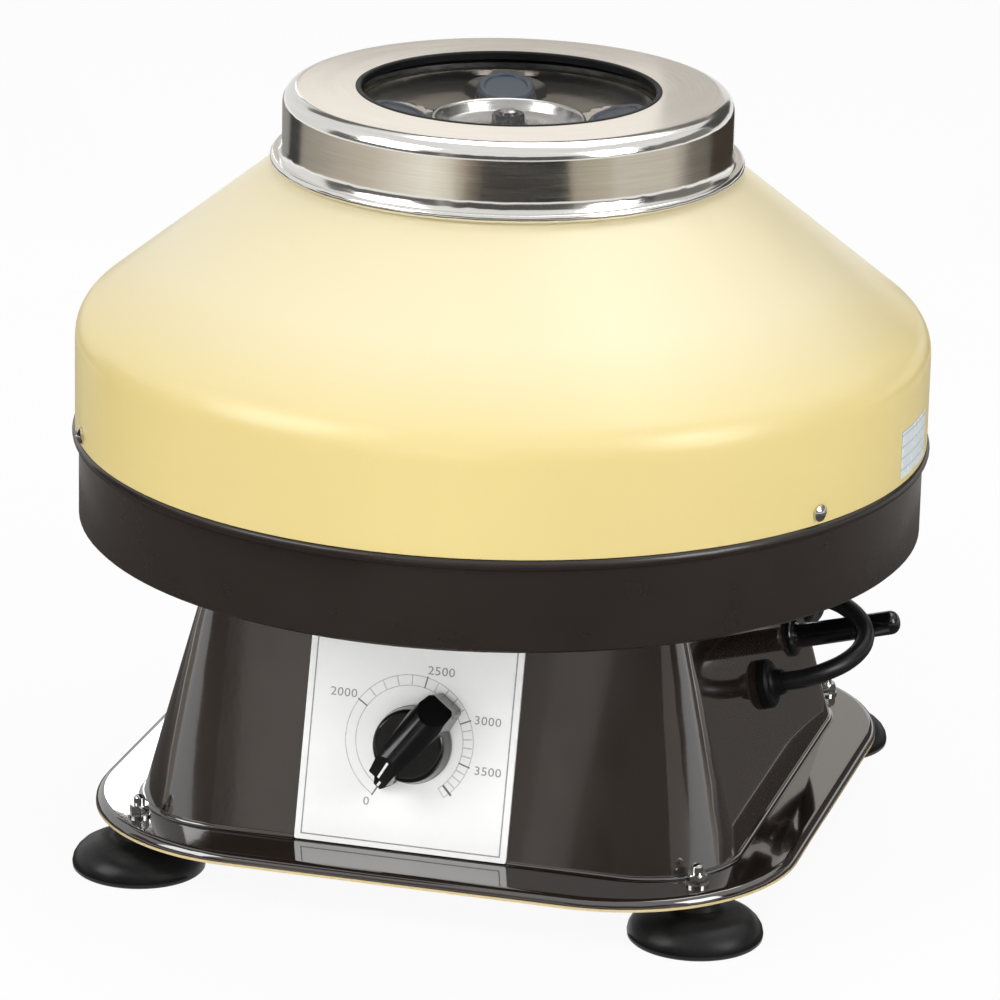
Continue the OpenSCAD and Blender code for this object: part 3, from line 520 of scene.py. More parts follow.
@dataclass(frozen=True)
class PrintedSheet(Finish):
    """A satin white or cream plate or label stock, very slightly uneven."""

    rough: Flat = (0.30, 0.40)

    def paint(self, g: Graph) -> None:
        """A faint cloud in tone and roughness and a paper-fine tooth.

        Args:
            g: The material's nodes.
        """
        at = g.place()
        g.vary(g.noise(at, 55.0, 4.0), self.colour, 0.965, 1.015, self.rough)
        g.bump(g.noise(at, 2600.0, 1.0), 0.03, 0.00004)


@dataclass(frozen=True)
class RuledSheet(PrintedSheet):
    """Label stock ruled with plain pale lines and left blank."""

    rule: Colour = (0.4, 0.5, 0.6, 1.0)
    pitch: float = 5.2
    share: float = 0.16

    def paint(self, g: Graph) -> None:
        """Lines at even heights over the sheet's own tone.

        Args:
            g: The material's nodes.
        """
        super().paint(g)
        height = g.axes(g.place())[2]
        step = g.maths("FRACT", g.maths("DIVIDE", height, self.pitch * MM))
        tone = g.skin.inputs["Base Color"].links[0].from_socket
        g.link(g.tint(g.maths("LESS_THAN", step, self.share), tone, self.rule),
               g.skin.inputs["Base Color"])


@dataclass(frozen=True)
class Ink(Finish):
    """Screen-printed ink, a little uneven where the screen left it thin."""

    def paint(self, g: Graph) -> None:
        """Thin places in tone and roughness."""
        g.vary(g.noise(g.place(), 900.0, 3.0), self.colour, 0.9, 1.25, (0.38, 0.5))


@dataclass(frozen=True)
class ClearSheet(Finish):
    """A clear flat window with an anti-glare face: light passes, with a weak reflection."""

    colour: Colour = (0.90, 0.90, 0.89, 1.0)
    shine: float = 0.02

    def paint(self, g: Graph) -> None:
        """Clear sheet, and a thin shine with faint smears in it.

        Args:
            g: The material's nodes.
        """
        smear = g.noise(g.place(), 45.0, 5.0, 0.7)
        clear = g.add("BsdfTransparent")
        g.link(g.tint(g.span(smear, 0, 1), self.colour, shade(self.colour, 0.97)),
               clear.inputs["Color"])
        g.link(g.span(smear, 0.01, 0.06), g.skin.inputs["Roughness"])
        g.set("Metallic", 1.0)
        g.set("Base Color", (1, 1, 1, 1))
        g.blend(self.shine, clear.outputs[0], g.skin.outputs[0])


@dataclass(frozen=True)
class MilkyNylon(Finish):
    """Translucent nylon: light spreads inside it, so its edges look paler."""

    def paint(self, g: Graph) -> None:
        """Scatter with clouds in tone and fine turning marks.

        Args:
            g: The material's nodes.
        """
        at = g.place()
        g.vary(g.noise(at, 140.0, 4.0), self.colour, 0.88, 1.12, (0.28, 0.42))
        g.set("Subsurface Weight", 0.35)
        g.set("Subsurface Radius", (0.6, 0.8, 1.0))
        g.set("Subsurface Scale", 0.004)
        g.bump(g.noise(at, 1100.0, 2.0), 0.05, 0.00006)


@dataclass(frozen=True)
class WoundWire(Finish):
    """Varnished copper wire laid turn by turn."""

    turns: float = 900.0

    def paint(self, g: Graph) -> None:
        """Turns as bands round the shaft with painted shade in the grooves between them, varnish as
        a coat.

        Args:
            g: The material's nodes.
        """
        at = g.place()
        bands = g.add("TexWave", wave_type="BANDS", bands_direction="DIAGONAL")
        bands.inputs["Scale"].default_value = self.turns / math.tau
        bands.inputs["Distortion"].default_value = 1.2
        bands.inputs["Detail"].default_value = 2.0
        g.link(at, bands.inputs["Vector"])
        # The colour falls to 0.45 in the troughs between turns: painted shade in the grooves.
        g.link(g.tint(bands.outputs["Fac"], shade(self.colour, 0.45), self.colour),
               g.skin.inputs["Base Color"])
        g.link(g.span(bands.outputs["Fac"], 0.45, 0.28, 0.0, 1.0), g.skin.inputs["Roughness"])
        g.set("Metallic", 0.6)
        g.set("Coat Weight", 0.5)
        g.set("Coat Roughness", 0.15)
        g.bump(bands.outputs["Fac"], 0.5, 0.0002)


class Finishes:
    """Every finish on the machine, by what it is used for."""

    gloss_brown = StovedEnamel("gloss_brown_enamel", srgb(38, 30, 25), (0.06, 0.10), mottle=0.10,
                               peel=0.04, coat=1.0, coat_rough=0.02, ior=2.0)
    # Below 19.7 mm the plate's rounded lower edge turns tan: a painted highlight, the bench's
    # reflection painted into the enamel.
    base_brown_edge_highlight = replace(gloss_brown, name="gloss_brown_painted_edge_highlight",
                         second=srgb(232, 210, 158), fade_from=20.1, fade_to=19.7)
    brown = StovedEnamel("satin_brown_enamel", srgb(38, 31, 27), (0.26, 0.34), mottle=0.08,
                         peel=0.06, coat=0.25, coat_rough=0.12)
    # Above 224 mm the cream pales toward the crown: painted sheen, the overhead light painted into
    # the colour.
    cream = StovedEnamel("cream_enamel", srgb(225, 205, 136), (0.34, 0.44), mottle=0.012,
                         peel=0.05, coat=0.35, coat_rough=0.22, second=srgb(232, 220, 181),
                         fade_from=224.0, fade_to=262.0)
    steel = SpunSteel("spun_stainless", srgb(240, 238, 233), (0.09, 0.17), 0.08, 1900.0, 0.4)
    dish = SpunSteel("polished_dish", srgb(128, 123, 118), (0.10, 0.22), 0.14, 1400.0, 0.6)
    turned = SpunSteel("turned_alloy", srgb(196, 197, 200), (0.22, 0.36), 0.16, 1500.0, 0.5)
    disc = SpunSteel("bright_disc", srgb(226, 226, 227), (0.16, 0.28), 0.14, 1500.0, 0.5)
    plated = BrightMetal("bright_plating", srgb(214, 214, 212), (0.08, 0.20), 0.05, 300.0)
    machined = BrightMetal("ground_steel", srgb(190, 191, 194), (0.18, 0.30), 0.06, 400.0)
    brass = BrightMetal("bright_brass", srgb(205, 172, 104), (0.16, 0.28), 0.06, 350.0)
    sheet = DullSteel("zinc_sheet", srgb(150, 152, 154))
    dark_steel = DullSteel("lamination_steel", srgb(96, 98, 104), (0.38, 0.56))
    rubber = SoftRubber("black_rubber", srgb(15, 15, 15), (0.30, 0.46), 0.10, 0.28)
    gasket = SoftRubber("gasket_rubber", srgb(13, 13, 14), (0.38, 0.55), 0.10, 0.14)
    sheath = SoftRubber("lead_sheath", srgb(17, 17, 18), (0.26, 0.40), 0.06, 0.35)
    black = MouldedPlastic("black_moulding", srgb(13, 13, 14))
    blued = BrightMetal("blued_nut", srgb(70, 70, 74), (0.20, 0.32), 0.05, 500.0)
    plug = MouldedPlastic("plug_moulding", srgb(28, 28, 29), (0.30, 0.42), 0.0)
    wafer = MouldedPlastic("resin_board", srgb(74, 44, 26), (0.30, 0.45), 0.1)
    nylon_white = MouldedPlastic("white_nylon", srgb(226, 222, 210), (0.34, 0.46), 0.0)
    plate = PrintedSheet("dial_plate_white", srgb(253, 253, 251))
    label = RuledSheet("label_stock", srgb(216, 223, 226), (0.22, 0.34), srgb(176, 190, 204))
    grey_ink = Ink("grey_ink", srgb(142, 141, 140))
    pale_ink = Ink("pale_ink", srgb(198, 197, 196))
    line_ink = Ink("line_ink", srgb(150, 149, 148))
    dark_ink = Ink("dark_ink", srgb(104, 104, 106))
    white_ink = Ink("white_ink", srgb(236, 236, 232))
    window = ClearSheet("clear_window")
    cap = MilkyNylon("milky_cap", srgb(62, 75, 95))
    wire = WoundWire("winding_wire", srgb(184, 104, 58))
    copper = SpunSteel("segment_copper", srgb(204, 128, 88), (0.22, 0.36), 0.12, 1200.0, 0.5)
    insulation = MouldedPlastic("lead_insulation", srgb(120, 34, 26), (0.30, 0.42), 0.0)
    carbon = SoftRubber("pressed_carbon", srgb(30, 30, 32), (0.45, 0.65), 0.25)


# Shape building


class Shapes:
    """Makes meshes that belong to the object, and looks after CAD nodes."""

    @staticmethod
    def add(name: str, points: Iterable[Point], faces: Iterable[Sequence[int]],
            smooth: bool = True) -> bpy.types.Object:
        """Makes a mesh object.

        Args:
            name: The piece's name.
            points: Its corners in metres.
            faces: Its faces, as corner numbers.
            smooth: True for smooth shading.

        Returns:
            The object, linked to the scene.
        """
        mesh = bpy.data.meshes.new(name)
        mesh.from_pydata([tuple(p) for p in points], [], [tuple(f) for f in faces])
        mesh.validate()
        work = bmesh.new()
        work.from_mesh(mesh)
        bmesh.ops.recalc_face_normals(work, faces=work.faces)
        work.to_mesh(mesh)
        work.free()
        for face in mesh.polygons:
            face.use_smooth = smooth
        piece = bpy.data.objects.new(name, mesh)
        bpy.context.scene.collection.objects.link(piece)
        return piece

    @staticmethod
    def soften(names: Iterable[str], angle: float) -> None:
        """Shades CAD nodes smoothly across edges flatter than an angle, leaving their meshes alone.

        Args:
            names: The nodes.
            angle: The sharpest edge, in degrees, that is smoothed over.
        """
        for name in names:
            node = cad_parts[name]
            held = node.data.attributes.get("custom_normal")
            if held is not None:
                node.data.attributes.remove(held)
            for face in node.data.polygons:
                face.use_smooth = True
            weld = node.modifiers.new("weld", "WELD")
            weld.merge_threshold = 2e-6
            split = node.modifiers.new("split", "EDGE_SPLIT")
            split.split_angle = math.radians(angle)
            weighted = node.modifiers.new("weighted", "WEIGHTED_NORMAL")
            weighted.mode = "FACE_AREA"
            weighted.weight = 60

    @staticmethod
    def ribbon(path: Sequence[Flat], width: float, low: float, high: float,
               closed: bool = False) -> tuple[list[Point], list[tuple[int, ...]]]:
        """A flat strip of constant width along a path in a plane, with a small thickness.

        Args:
            path: Points in the plane, in millimetres.
            width: Width of the strip.
            low: Height of its underside.
            high: Height of its top.
            closed: True where the last point joins the first.

        Returns:
            Its corners in millimetres and its faces.
        """
        count = len(path)
        sides: list[tuple[Flat, Flat]] = []
        for i, (x, y) in enumerate(path):
            if closed:
                before, after = path[i - 1], path[(i + 1) % count]
            else:
                before, after = path[max(i - 1, 0)], path[min(i + 1, count - 1)]
            one = Vector((x - before[0], y - before[1]))
            two = Vector((after[0] - x, after[1] - y))
            one = one.normalized() if one.length > 1e-9 else two.normalized()
            two = two.normalized() if two.length > 1e-9 else one
            along = (one + two).normalized()
            reach = width / 2 / max(0.35, along.dot(one))
            side = Vector((-along.y, along.x)) * reach
            sides.append(((x + side.x, y + side.y), (x - side.x, y - side.y)))
        points: list[Point] = []
        for left, right in sides:
            points += [(*left, low), (*right, low), (*right, high), (*left, high)]
        faces: list[tuple[int, ...]] = []
        last = count if closed else count - 1
        for i in range(last):
            a, b = 4 * i, 4 * ((i + 1) % count)
            for k in range(4):
                faces.append((a + k, a + (k + 1) % 4, b + (k + 1) % 4, b + k))
        if not closed:
            end = 4 * (count - 1)
            faces += [(0, 1, 2, 3), (end, end + 1, end + 2, end + 3)]
        return points, faces


Coats = tuple[tuple[Finish, str], ...]


@dataclass
class Assembly:
    """A sub-assembly of CAD nodes.

    `smooth` names the nodes that are shaded smoothly, over edges flatter than `angle` degrees.
    `coats` gives each finish with the nodes that have it. Names are parted by spaces.
    """

    angle: float = 32.0
    smooth: str = ""
    coats: Coats = ()

    def build(self) -> None:
        """Smooths the pressed, spun and moulded shapes."""
        Shapes.soften(self.smooth.split(), self.angle)

    def dress(self) -> None:
        """Puts each finish on its nodes."""
        for finish, names in self.coats:
            finish.on(*(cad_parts[name] for name in names.split()))


class Body(Enum):
    """The CAD bodies that pieces ride on."""

    STAND = "stand"
    ROTOR = "rotor"
    KNOB = "knob"
    LID = "lid"


def settle(piece: bpy.types.Object, body: Body) -> None:
    """Rides a new piece on a body and logs it.

    Args:
        piece: The new piece.
        body: The CAD body that carries it.
    """
    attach(piece, body.value)
    LOG.info("piece %s on %s", piece.name, body.value)


# The studio

WALL = 3.2
BENCH = 0.002


@dataclass(frozen=True)
class SoftBox:
    """A soft box that faces the machine.

    Its azimuth is in degrees from the dial side, positive to the right. Its height, its distance
    from the shaft on the flat and its size are in metres, and its power is in watts. A box that
    isn't mirrored stays out of reflections.
    """

    name: str
    azimuth: float
    height: float
    distance: float
    size: Flat
    power: float
    mirrored: bool = True
    aim: Point = (0.0, 0.0, 0.17)

    def build(self) -> None:
        """Hangs the lamp and turns it to the machine."""
        light = bpy.data.lights.new(self.name, "AREA")
        light.shape = "RECTANGLE"
        light.size, light.size_y = self.size
        light.energy = self.power
        lamp = bpy.data.objects.new(self.name, light)
        a = math.radians(self.azimuth)
        lamp.location = (self.distance * math.sin(a), -self.distance * math.cos(a), self.height)
        lamp.rotation_euler = (Vector(self.aim) - lamp.location).to_track_quat("-Z", "Y").to_euler()
        lamp.visible_glossy = self.mirrored
        bpy.context.scene.collection.objects.link(lamp)


@dataclass(frozen=True)
class Card:
    """A card round part of the machine that only reflections see.

    Its marks are azimuths in degrees from the dial side, positive to the right, each with the
    card's red, green and blue there, and it blends from one to the next. Each of its two edges is
    a distance from the shaft and a height, in metres.
    """

    name: str
    marks: tuple[Mark, ...]
    inner: Flat
    outer: Flat
    step: float = 4.0

    def spots(self) -> list[Mark]:
        """Adds marks between the card's own, so that it is round.

        Returns:
            All marks in order.
        """
        made = [self.marks[0]]
        for (one, first), (two, second) in zip(self.marks, self.marks[1:]):
            steps = max(1, round(abs(two - one) / self.step))
            for k in range(1, steps + 1):
                t = k / steps
                made.append((one + (two - one) * t,
                             tuple(a + (b - a) * t for a, b in zip(first, second))))
        return made

    def build(self) -> None:
        """Makes the card, with its tones as a glow."""
        spots = self.spots()
        points: list[Point] = []
        for azimuth, _ in spots:
            x, y = math.sin(math.radians(azimuth)), -math.cos(math.radians(azimuth))
            points += [(reach * x, reach * y, z) for reach, z in (self.inner, self.outer)]
        faces = [(2 * i, 2 * i + 1, 2 * i + 3, 2 * i + 2) for i in range(len(spots) - 1)]
        piece = Shapes.add(self.name, points, faces, False)
        tone = piece.data.color_attributes.new("tone", "FLOAT_COLOR", "POINT")
        for i, (_, colour) in enumerate(spots):
            tone.data[2 * i].color = tone.data[2 * i + 1].color = (*colour, 1)
        material = bpy.data.materials.new(self.name)
        g = Graph(material)
        glow = g.add("Emission")
        g.link(g.add("Attribute", attribute_name="tone").outputs["Color"], glow.inputs["Color"])
        g.link(glow.outputs[0], g.out.inputs["Surface"])
        piece.data.materials.append(material)
        for ray in ("camera", "diffuse", "transmission", "volume_scatter", "shadow"):
            setattr(piece, "visible_" + ray, False)


def greys(*marks: Flat, warmth: Flat = (0.96, 0.90)) -> tuple[Mark, ...]:
    """Marks of greys that are a little warm.

    Args:
        *marks: Azimuth and grey of each.
        warmth: Green and blue as shares of red.

    Returns:
        The marks for a card.
    """
    return tuple((at, (grey, grey * warmth[0], grey * warmth[1])) for at, grey in marks)


def bands(*parts: tuple[float, float, float]) -> tuple[Mark, ...]:
    """Marks of even bands with sharp changes.

    Args:
        *parts: Start, end and grey of each.

    Returns:
        The marks for a card.
    """
    ends = [(at, grey) for start, end, grey in parts for at in (start, end)]
    return greys(*ends, warmth=(0.94, 0.87))


SOFT_BOXES = (
    SoftBox("key_box", -48.0, 1.35, 1.9, (1.2, 1.3), 20.5),
    SoftBox("fill_box", 70.0, 1.1, 2.1, (0.9, 1.2), 21.0),
    SoftBox("top_box", 170.0, 2.1, 0.7, (1.8, 1.4), 20.5),
    SoftBox("front_box", 2.0, 0.55, 2.3, (1.2, 0.5), 15.0, False),
    SoftBox("back_box", 203.0, 1.215, 3.2, (0.36, 0.23), 1.25))

# What the lid's wall and the enamel mirror: the bench round the machine, from near to far
NEAR_BENCH = bands((-180, 180, 0.10))
MIDDLE_BENCH = greys((-180, 0.32), (-122, 0.36), (-95, 0.16), (-45, 0.05), (45, 0.04), (95, 0.10),
                     (125, 0.30), (150, 0.36), (180, 0.32))
FAR_BENCH = (
    (-152, (0.31, 0.30, 0.28)), (-130, (0.29, 0.28, 0.27)), (-126, (0.05, 0.05, 0.05)),
    (-113, (0.05, 0.05, 0.05)), (-109, (0.31, 0.28, 0.24)), (-92, (0.36, 0.33, 0.28)),
    (-55, (0.56, 0.50, 0.42)), (-24, (0.88, 0.84, 0.74)), (-13, (0.72, 0.67, 0.57)),
    (-4, (0.24, 0.20, 0.15)), (4, (0.05, 0.045, 0.04)), (44, (0.03, 0.028, 0.024)),
    (47, (0.38, 0.34, 0.27)), (66, (0.48, 0.44, 0.34)), (70, (0.58, 0.54, 0.47)),
    (104, (0.56, 0.51, 0.44)), (118, (0.18, 0.16, 0.14)), (134, (0.14, 0.13, 0.11)),
    (138, (0.05, 0.04, 0.03)), (180, (0.05, 0.04, 0.03)))

# What the housing's front and sides mirror
FRONT_WALL = bands((-85, -18.3, 0.12), (-18.1, -15.9, 0.46), (-15.8, -12.6, 0.20),
                   (-12.5, -11.6, 0.42), (-11.4, -10.5, 0.03), (-10.3, -9.6, 0.16),
                   (-9.4, 48, 0.09), (49, 74, 0.30), (75, 92, 0.06), (94, 137, 0.20))

CARDS = (
    Card("near_bench", NEAR_BENCH, (0.17, BENCH), (0.54, BENCH)),
    Card("middle_bench", MIDDLE_BENCH, (0.54, BENCH), (0.86, BENCH)),
    Card("far_bench", FAR_BENCH, (0.98, BENCH), (2.6, BENCH)),
    Card("front_wall", FRONT_WALL, (WALL, 0.3), (WALL, 1.6)),
    Card("rear_right", bands((138, 176, 0.07)), (WALL, 0.5), (WALL, 1.9)),
    Card("rear_left", bands((196.5, 207, 0.05)), (WALL, 1.335), (WALL, 1.95)),
    Card("rear_middle", bands((177, 195.5, 0.60)), (WALL, 1.0), (WALL, 1.95)),
    Card("rear_high", bands((160, 230, 0.15)), (WALL, 1.96), (WALL, 3.3)),
    Card("front_near", bands((-78, -6, 0.04)), (0.27, 0.15), (0.27, 0.25)),
    Card("lid_card_low", bands((180, 214, 0.55)), (0.5, 0.38), (0.5, 0.45)),
    Card("lid_card_high", bands((186, 214, 1.0)), (0.5, 0.45), (0.5, 0.62)))


@dataclass
class Studio:
    """Camera, white surround, bench top, soft boxes and cards."""

    eye: Point = (0.65023, -2.37409, 0.95324)
    right: Point = (0.96231, 0.27104, 0.02229)
    up: Point = (-0.10503, 0.29477, 0.94978)
    focal_px: float = 5772.47
    photo_px: float = 1000.0
    sensor: float = 36.0
    sky: float = 0.40
    bench_half: float = 7.0
    bench_glow: float = 0.93

    def camera(self) -> None:
        """Places the camera as the photograph was taken."""
        lens = bpy.data.cameras.new("camera")
        lens.sensor_width = self.sensor
        lens.lens = self.focal_px / self.photo_px * self.sensor
        lens.clip_start = 0.05
        lens.clip_end = 60.0
        view = bpy.data.objects.new("camera", lens)
        right, up = Vector(self.right).normalized(), Vector(self.up).normalized()
        back = right.cross(up)
        view.matrix_world = Matrix([
            *([right[i], up[i], back[i], self.eye[i]] for i in range(3)), [0, 0, 0, 1]])
        bpy.context.scene.collection.objects.link(view)
        bpy.context.scene.camera = view

    def backdrop(self) -> None:
        """White all round to the camera, and soft even light on the object."""
        scene = bpy.context.scene
        scene.view_settings.view_transform = "Standard"
        scene.world = bpy.data.worlds.new("studio")
        scene.world.use_nodes = True
        tree = scene.world.node_tree
        tree.nodes.clear()
        path = tree.nodes.new("ShaderNodeLightPath")
        seen = path.outputs["Is Camera Ray"]
        for ray in ("Is Glossy Ray", "Is Transmission Ray"):
            either = tree.nodes.new("ShaderNodeMath")
            either.operation = "MAXIMUM"
            tree.links.new(seen, either.inputs[0])
            tree.links.new(path.outputs[ray], either.inputs[1])
            seen = either.outputs[0]
        mix = tree.nodes.new("ShaderNodeMixShader")
        tree.links.new(seen, mix.inputs[0])
        for index, strength in ((1, self.sky), (2, 1.0)):
            light = tree.nodes.new("ShaderNodeBackground")
            light.inputs["Strength"].default_value = strength
            tree.links.new(light.outputs[0], mix.inputs[index])
        out = tree.nodes.new("ShaderNodeOutputWorld")
        tree.links.new(mix.outputs[0], out.inputs["Surface"])

    def floor(self) -> None:
        """A white bench top that stays white to the camera but keeps the object's shadow."""
        half = self.bench_half
        top = Shapes.add("bench", [(-half, -half, 0), (half, -half, 0), (half, half, 0),
                                   (-half, half, 0)], [(0, 1, 2, 3)])
        material = bpy.data.materials.new("bench_white")
        g = Graph(material)
        g.set("Base Color", srgb(240, 240, 240))
        g.set("Roughness", 0.6)
        glow = g.add("Emission")
        glow.inputs["Strength"].default_value = 1.0
        path = g.add("LightPath")
        seen = g.maths("MAXIMUM", path.outputs["Is Camera Ray"], path.outputs["Is Glossy Ray"])
        g.blend(g.maths("MULTIPLY", seen, self.bench_glow), g.skin.outputs[0], glow.outputs[0])
        top.data.materials.append(material)

    def build(self) -> None:
        """Makes everything round the object."""
        self.backdrop()
        self.floor()
        for thing in (*SOFT_BOXES, *CARDS):
            thing.build()
        LOG.info("studio ready, with %d soft boxes and %d cards", len(SOFT_BOXES), len(CARDS))


# The machine


@dataclass
class MainsLead(Assembly):
    """The lead from its bushing over the peg and down behind the machine to its stored coil."""

    coats: Coats = (
        (Finishes.nylon_white, "cord_tie"), (Finishes.plug, "plug_body"),
        (Finishes.brass, "plug_pins"))
    diameter: float = 8.5
    coil_x: float = -62.0
    coil_y: float = 232.0
    coil_out: float = 56.5
    pitch: float = 9.0
    coil_z: float = 5.2
    low_turns: float = 2.5
    top_turns: float = 2.25
    steps: int = 24
    tail: float = 42.0

    def route(self) -> list[Vector]:
        """The lead's run, through the same points as the CAD source has.

        Returns:
            The points in millimetres.
        """
        points = [
            (104.1, 4, 64.8), (118.6, 4, 68.7), (133, 4, 72.6), (141.5, 5, 74.6),
            (149.5, 9, 77), (157.5, 17.5, 79.8), (162, 29, 82.8), (161.5, 41, 86.1),
            (156, 52, 89.0), (147.5, 62, 90.4), (139, 71, 89.6), (131.8, 81, 86.5),
            (127.5, 92.5, 80.5), (124, 105, 71.5), (116.8, 118, 61), (105, 128, 50),
            (91, 134, 40.5), (77, 138.5, 33.5), (63, 143, 29.4), (50, 148, 28.4),
            (38, 154.5, 28.2), (28, 162.8, 26.3), (19.5, 171.5, 21), (12, 180.5, 14.5),
            (5.5, 190, 8.9), (0, 201, 5.9), (-4, 212.5, 5.2), (-5.5, 223.5, 5.2)]
        return [Vector(p) for p in points]

    def curve_through(self, points: Sequence[Vector], parts: int) -> list[Vector]:
        """A round curve through every point.

        Args:
            points: The points it passes.
            parts: Pieces between two of them.

        Returns:
            The curve's points.
        """
        made: list[Vector] = []
        last = len(points) - 1
        for i in range(last):
            a, b = points[max(i - 1, 0)], points[i]
            c, d = points[i + 1], points[min(i + 2, last)]
            for k in range(parts):
                t = k / parts
                made.append(0.5 * ((2 * b) + (c - a) * t + (2 * a - 5 * b + 4 * c - d) * t * t
                                   + (3 * b - a - 3 * c + d) * t * t * t))
        return [*made, points[last]]

    def coil(self) -> list[Vector]:
        """Two layers of turns: in below, a climb, then out above.

        Returns:
            The coil's points in millimetres.
        """
        inner = self.coil_out - self.pitch * self.low_turns
        total = self.low_turns + 0.5 + self.top_turns
        made: list[Vector] = []
        for i in range(round(total * self.steps) + 1):
            t = i / self.steps
            if t < self.low_turns + 0.25:
                radius = self.coil_out - self.pitch * t
            else:
                radius = inner - self.pitch * (self.low_turns + 0.5 - t)
            if t < self.low_turns:
                height = self.coil_z
            elif t > self.low_turns + 0.5:
                height = self.coil_z + self.pitch
            else:
                climb = 1 - math.cos(2 * math.pi * (t - self.low_turns))
                height = self.coil_z + self.pitch * climb / 2
            turn = 2 * math.pi * t
            made.append(Vector((self.coil_x + radius * math.cos(turn),
                                self.coil_y + radius * math.sin(turn), height)))
        return made

    def line(self) -> list[Vector]:
        """The whole centreline from inside the housing to the plug.

        Returns:
            Its points in millimetres.
        """
        turns = self.coil()
        end = turns[-1]
        tail = [end + Vector((-self.diameter, 0, 0)), end + Vector((-self.tail - 1.5, 0, 0))]
        return [*self.curve_through(self.route(), 4), *turns, *tail]

    def build(self) -> None:
        line = [p * MM for p in self.line()]
        shape = bpy.data.curves.new("mains_lead", "CURVE")
        shape.dimensions = "3D"
        shape.bevel_depth = self.diameter * MM / 2
        shape.bevel_resolution = 6
        shape.use_fill_caps = True
        spline = shape.splines.new("POLY")
        spline.points.add(len(line) - 1)
        for point, place in zip(spline.points, line):
            point.co = (*place, 1.0)
        spline.use_smooth = True
        lead = bpy.data.objects.new("mains_lead", shape)
        bpy.context.scene.collection.objects.link(lead)
        Finishes.sheath.on(lead)
        settle(lead, Body.STAND)
        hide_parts("cord_run", "cord_coil")


@dataclass
class Stand(Assembly):
    """Base plate on its suction cups, the leaning housing and what is fixed to it."""

    smooth: str = ("base_plate stand_housing cord_bushing cord_peg suction_cup_front_left "
                   "suction_cup_front_right suction_cup_rear_left suction_cup_rear_right")
    coats: Coats = (
        (Finishes.base_brown_edge_highlight, "base_plate"),
        (Finishes.gloss_brown, "stand_housing"),
        (Finishes.rubber, "suction_cup_front_left suction_cup_front_right "
                          "suction_cup_rear_left suction_cup_rear_right"),
        (Finishes.gasket, "cord_bushing"),
        (Finishes.black, "cord_peg"),
        (Finishes.plated, "foot_studs foot_nuts housing_screws"),
        (Finishes.sheet, "housing_brackets"),
        (Finishes.nylon_white, "terminal_block"),
        (Finishes.insulation, "internal_leads"))


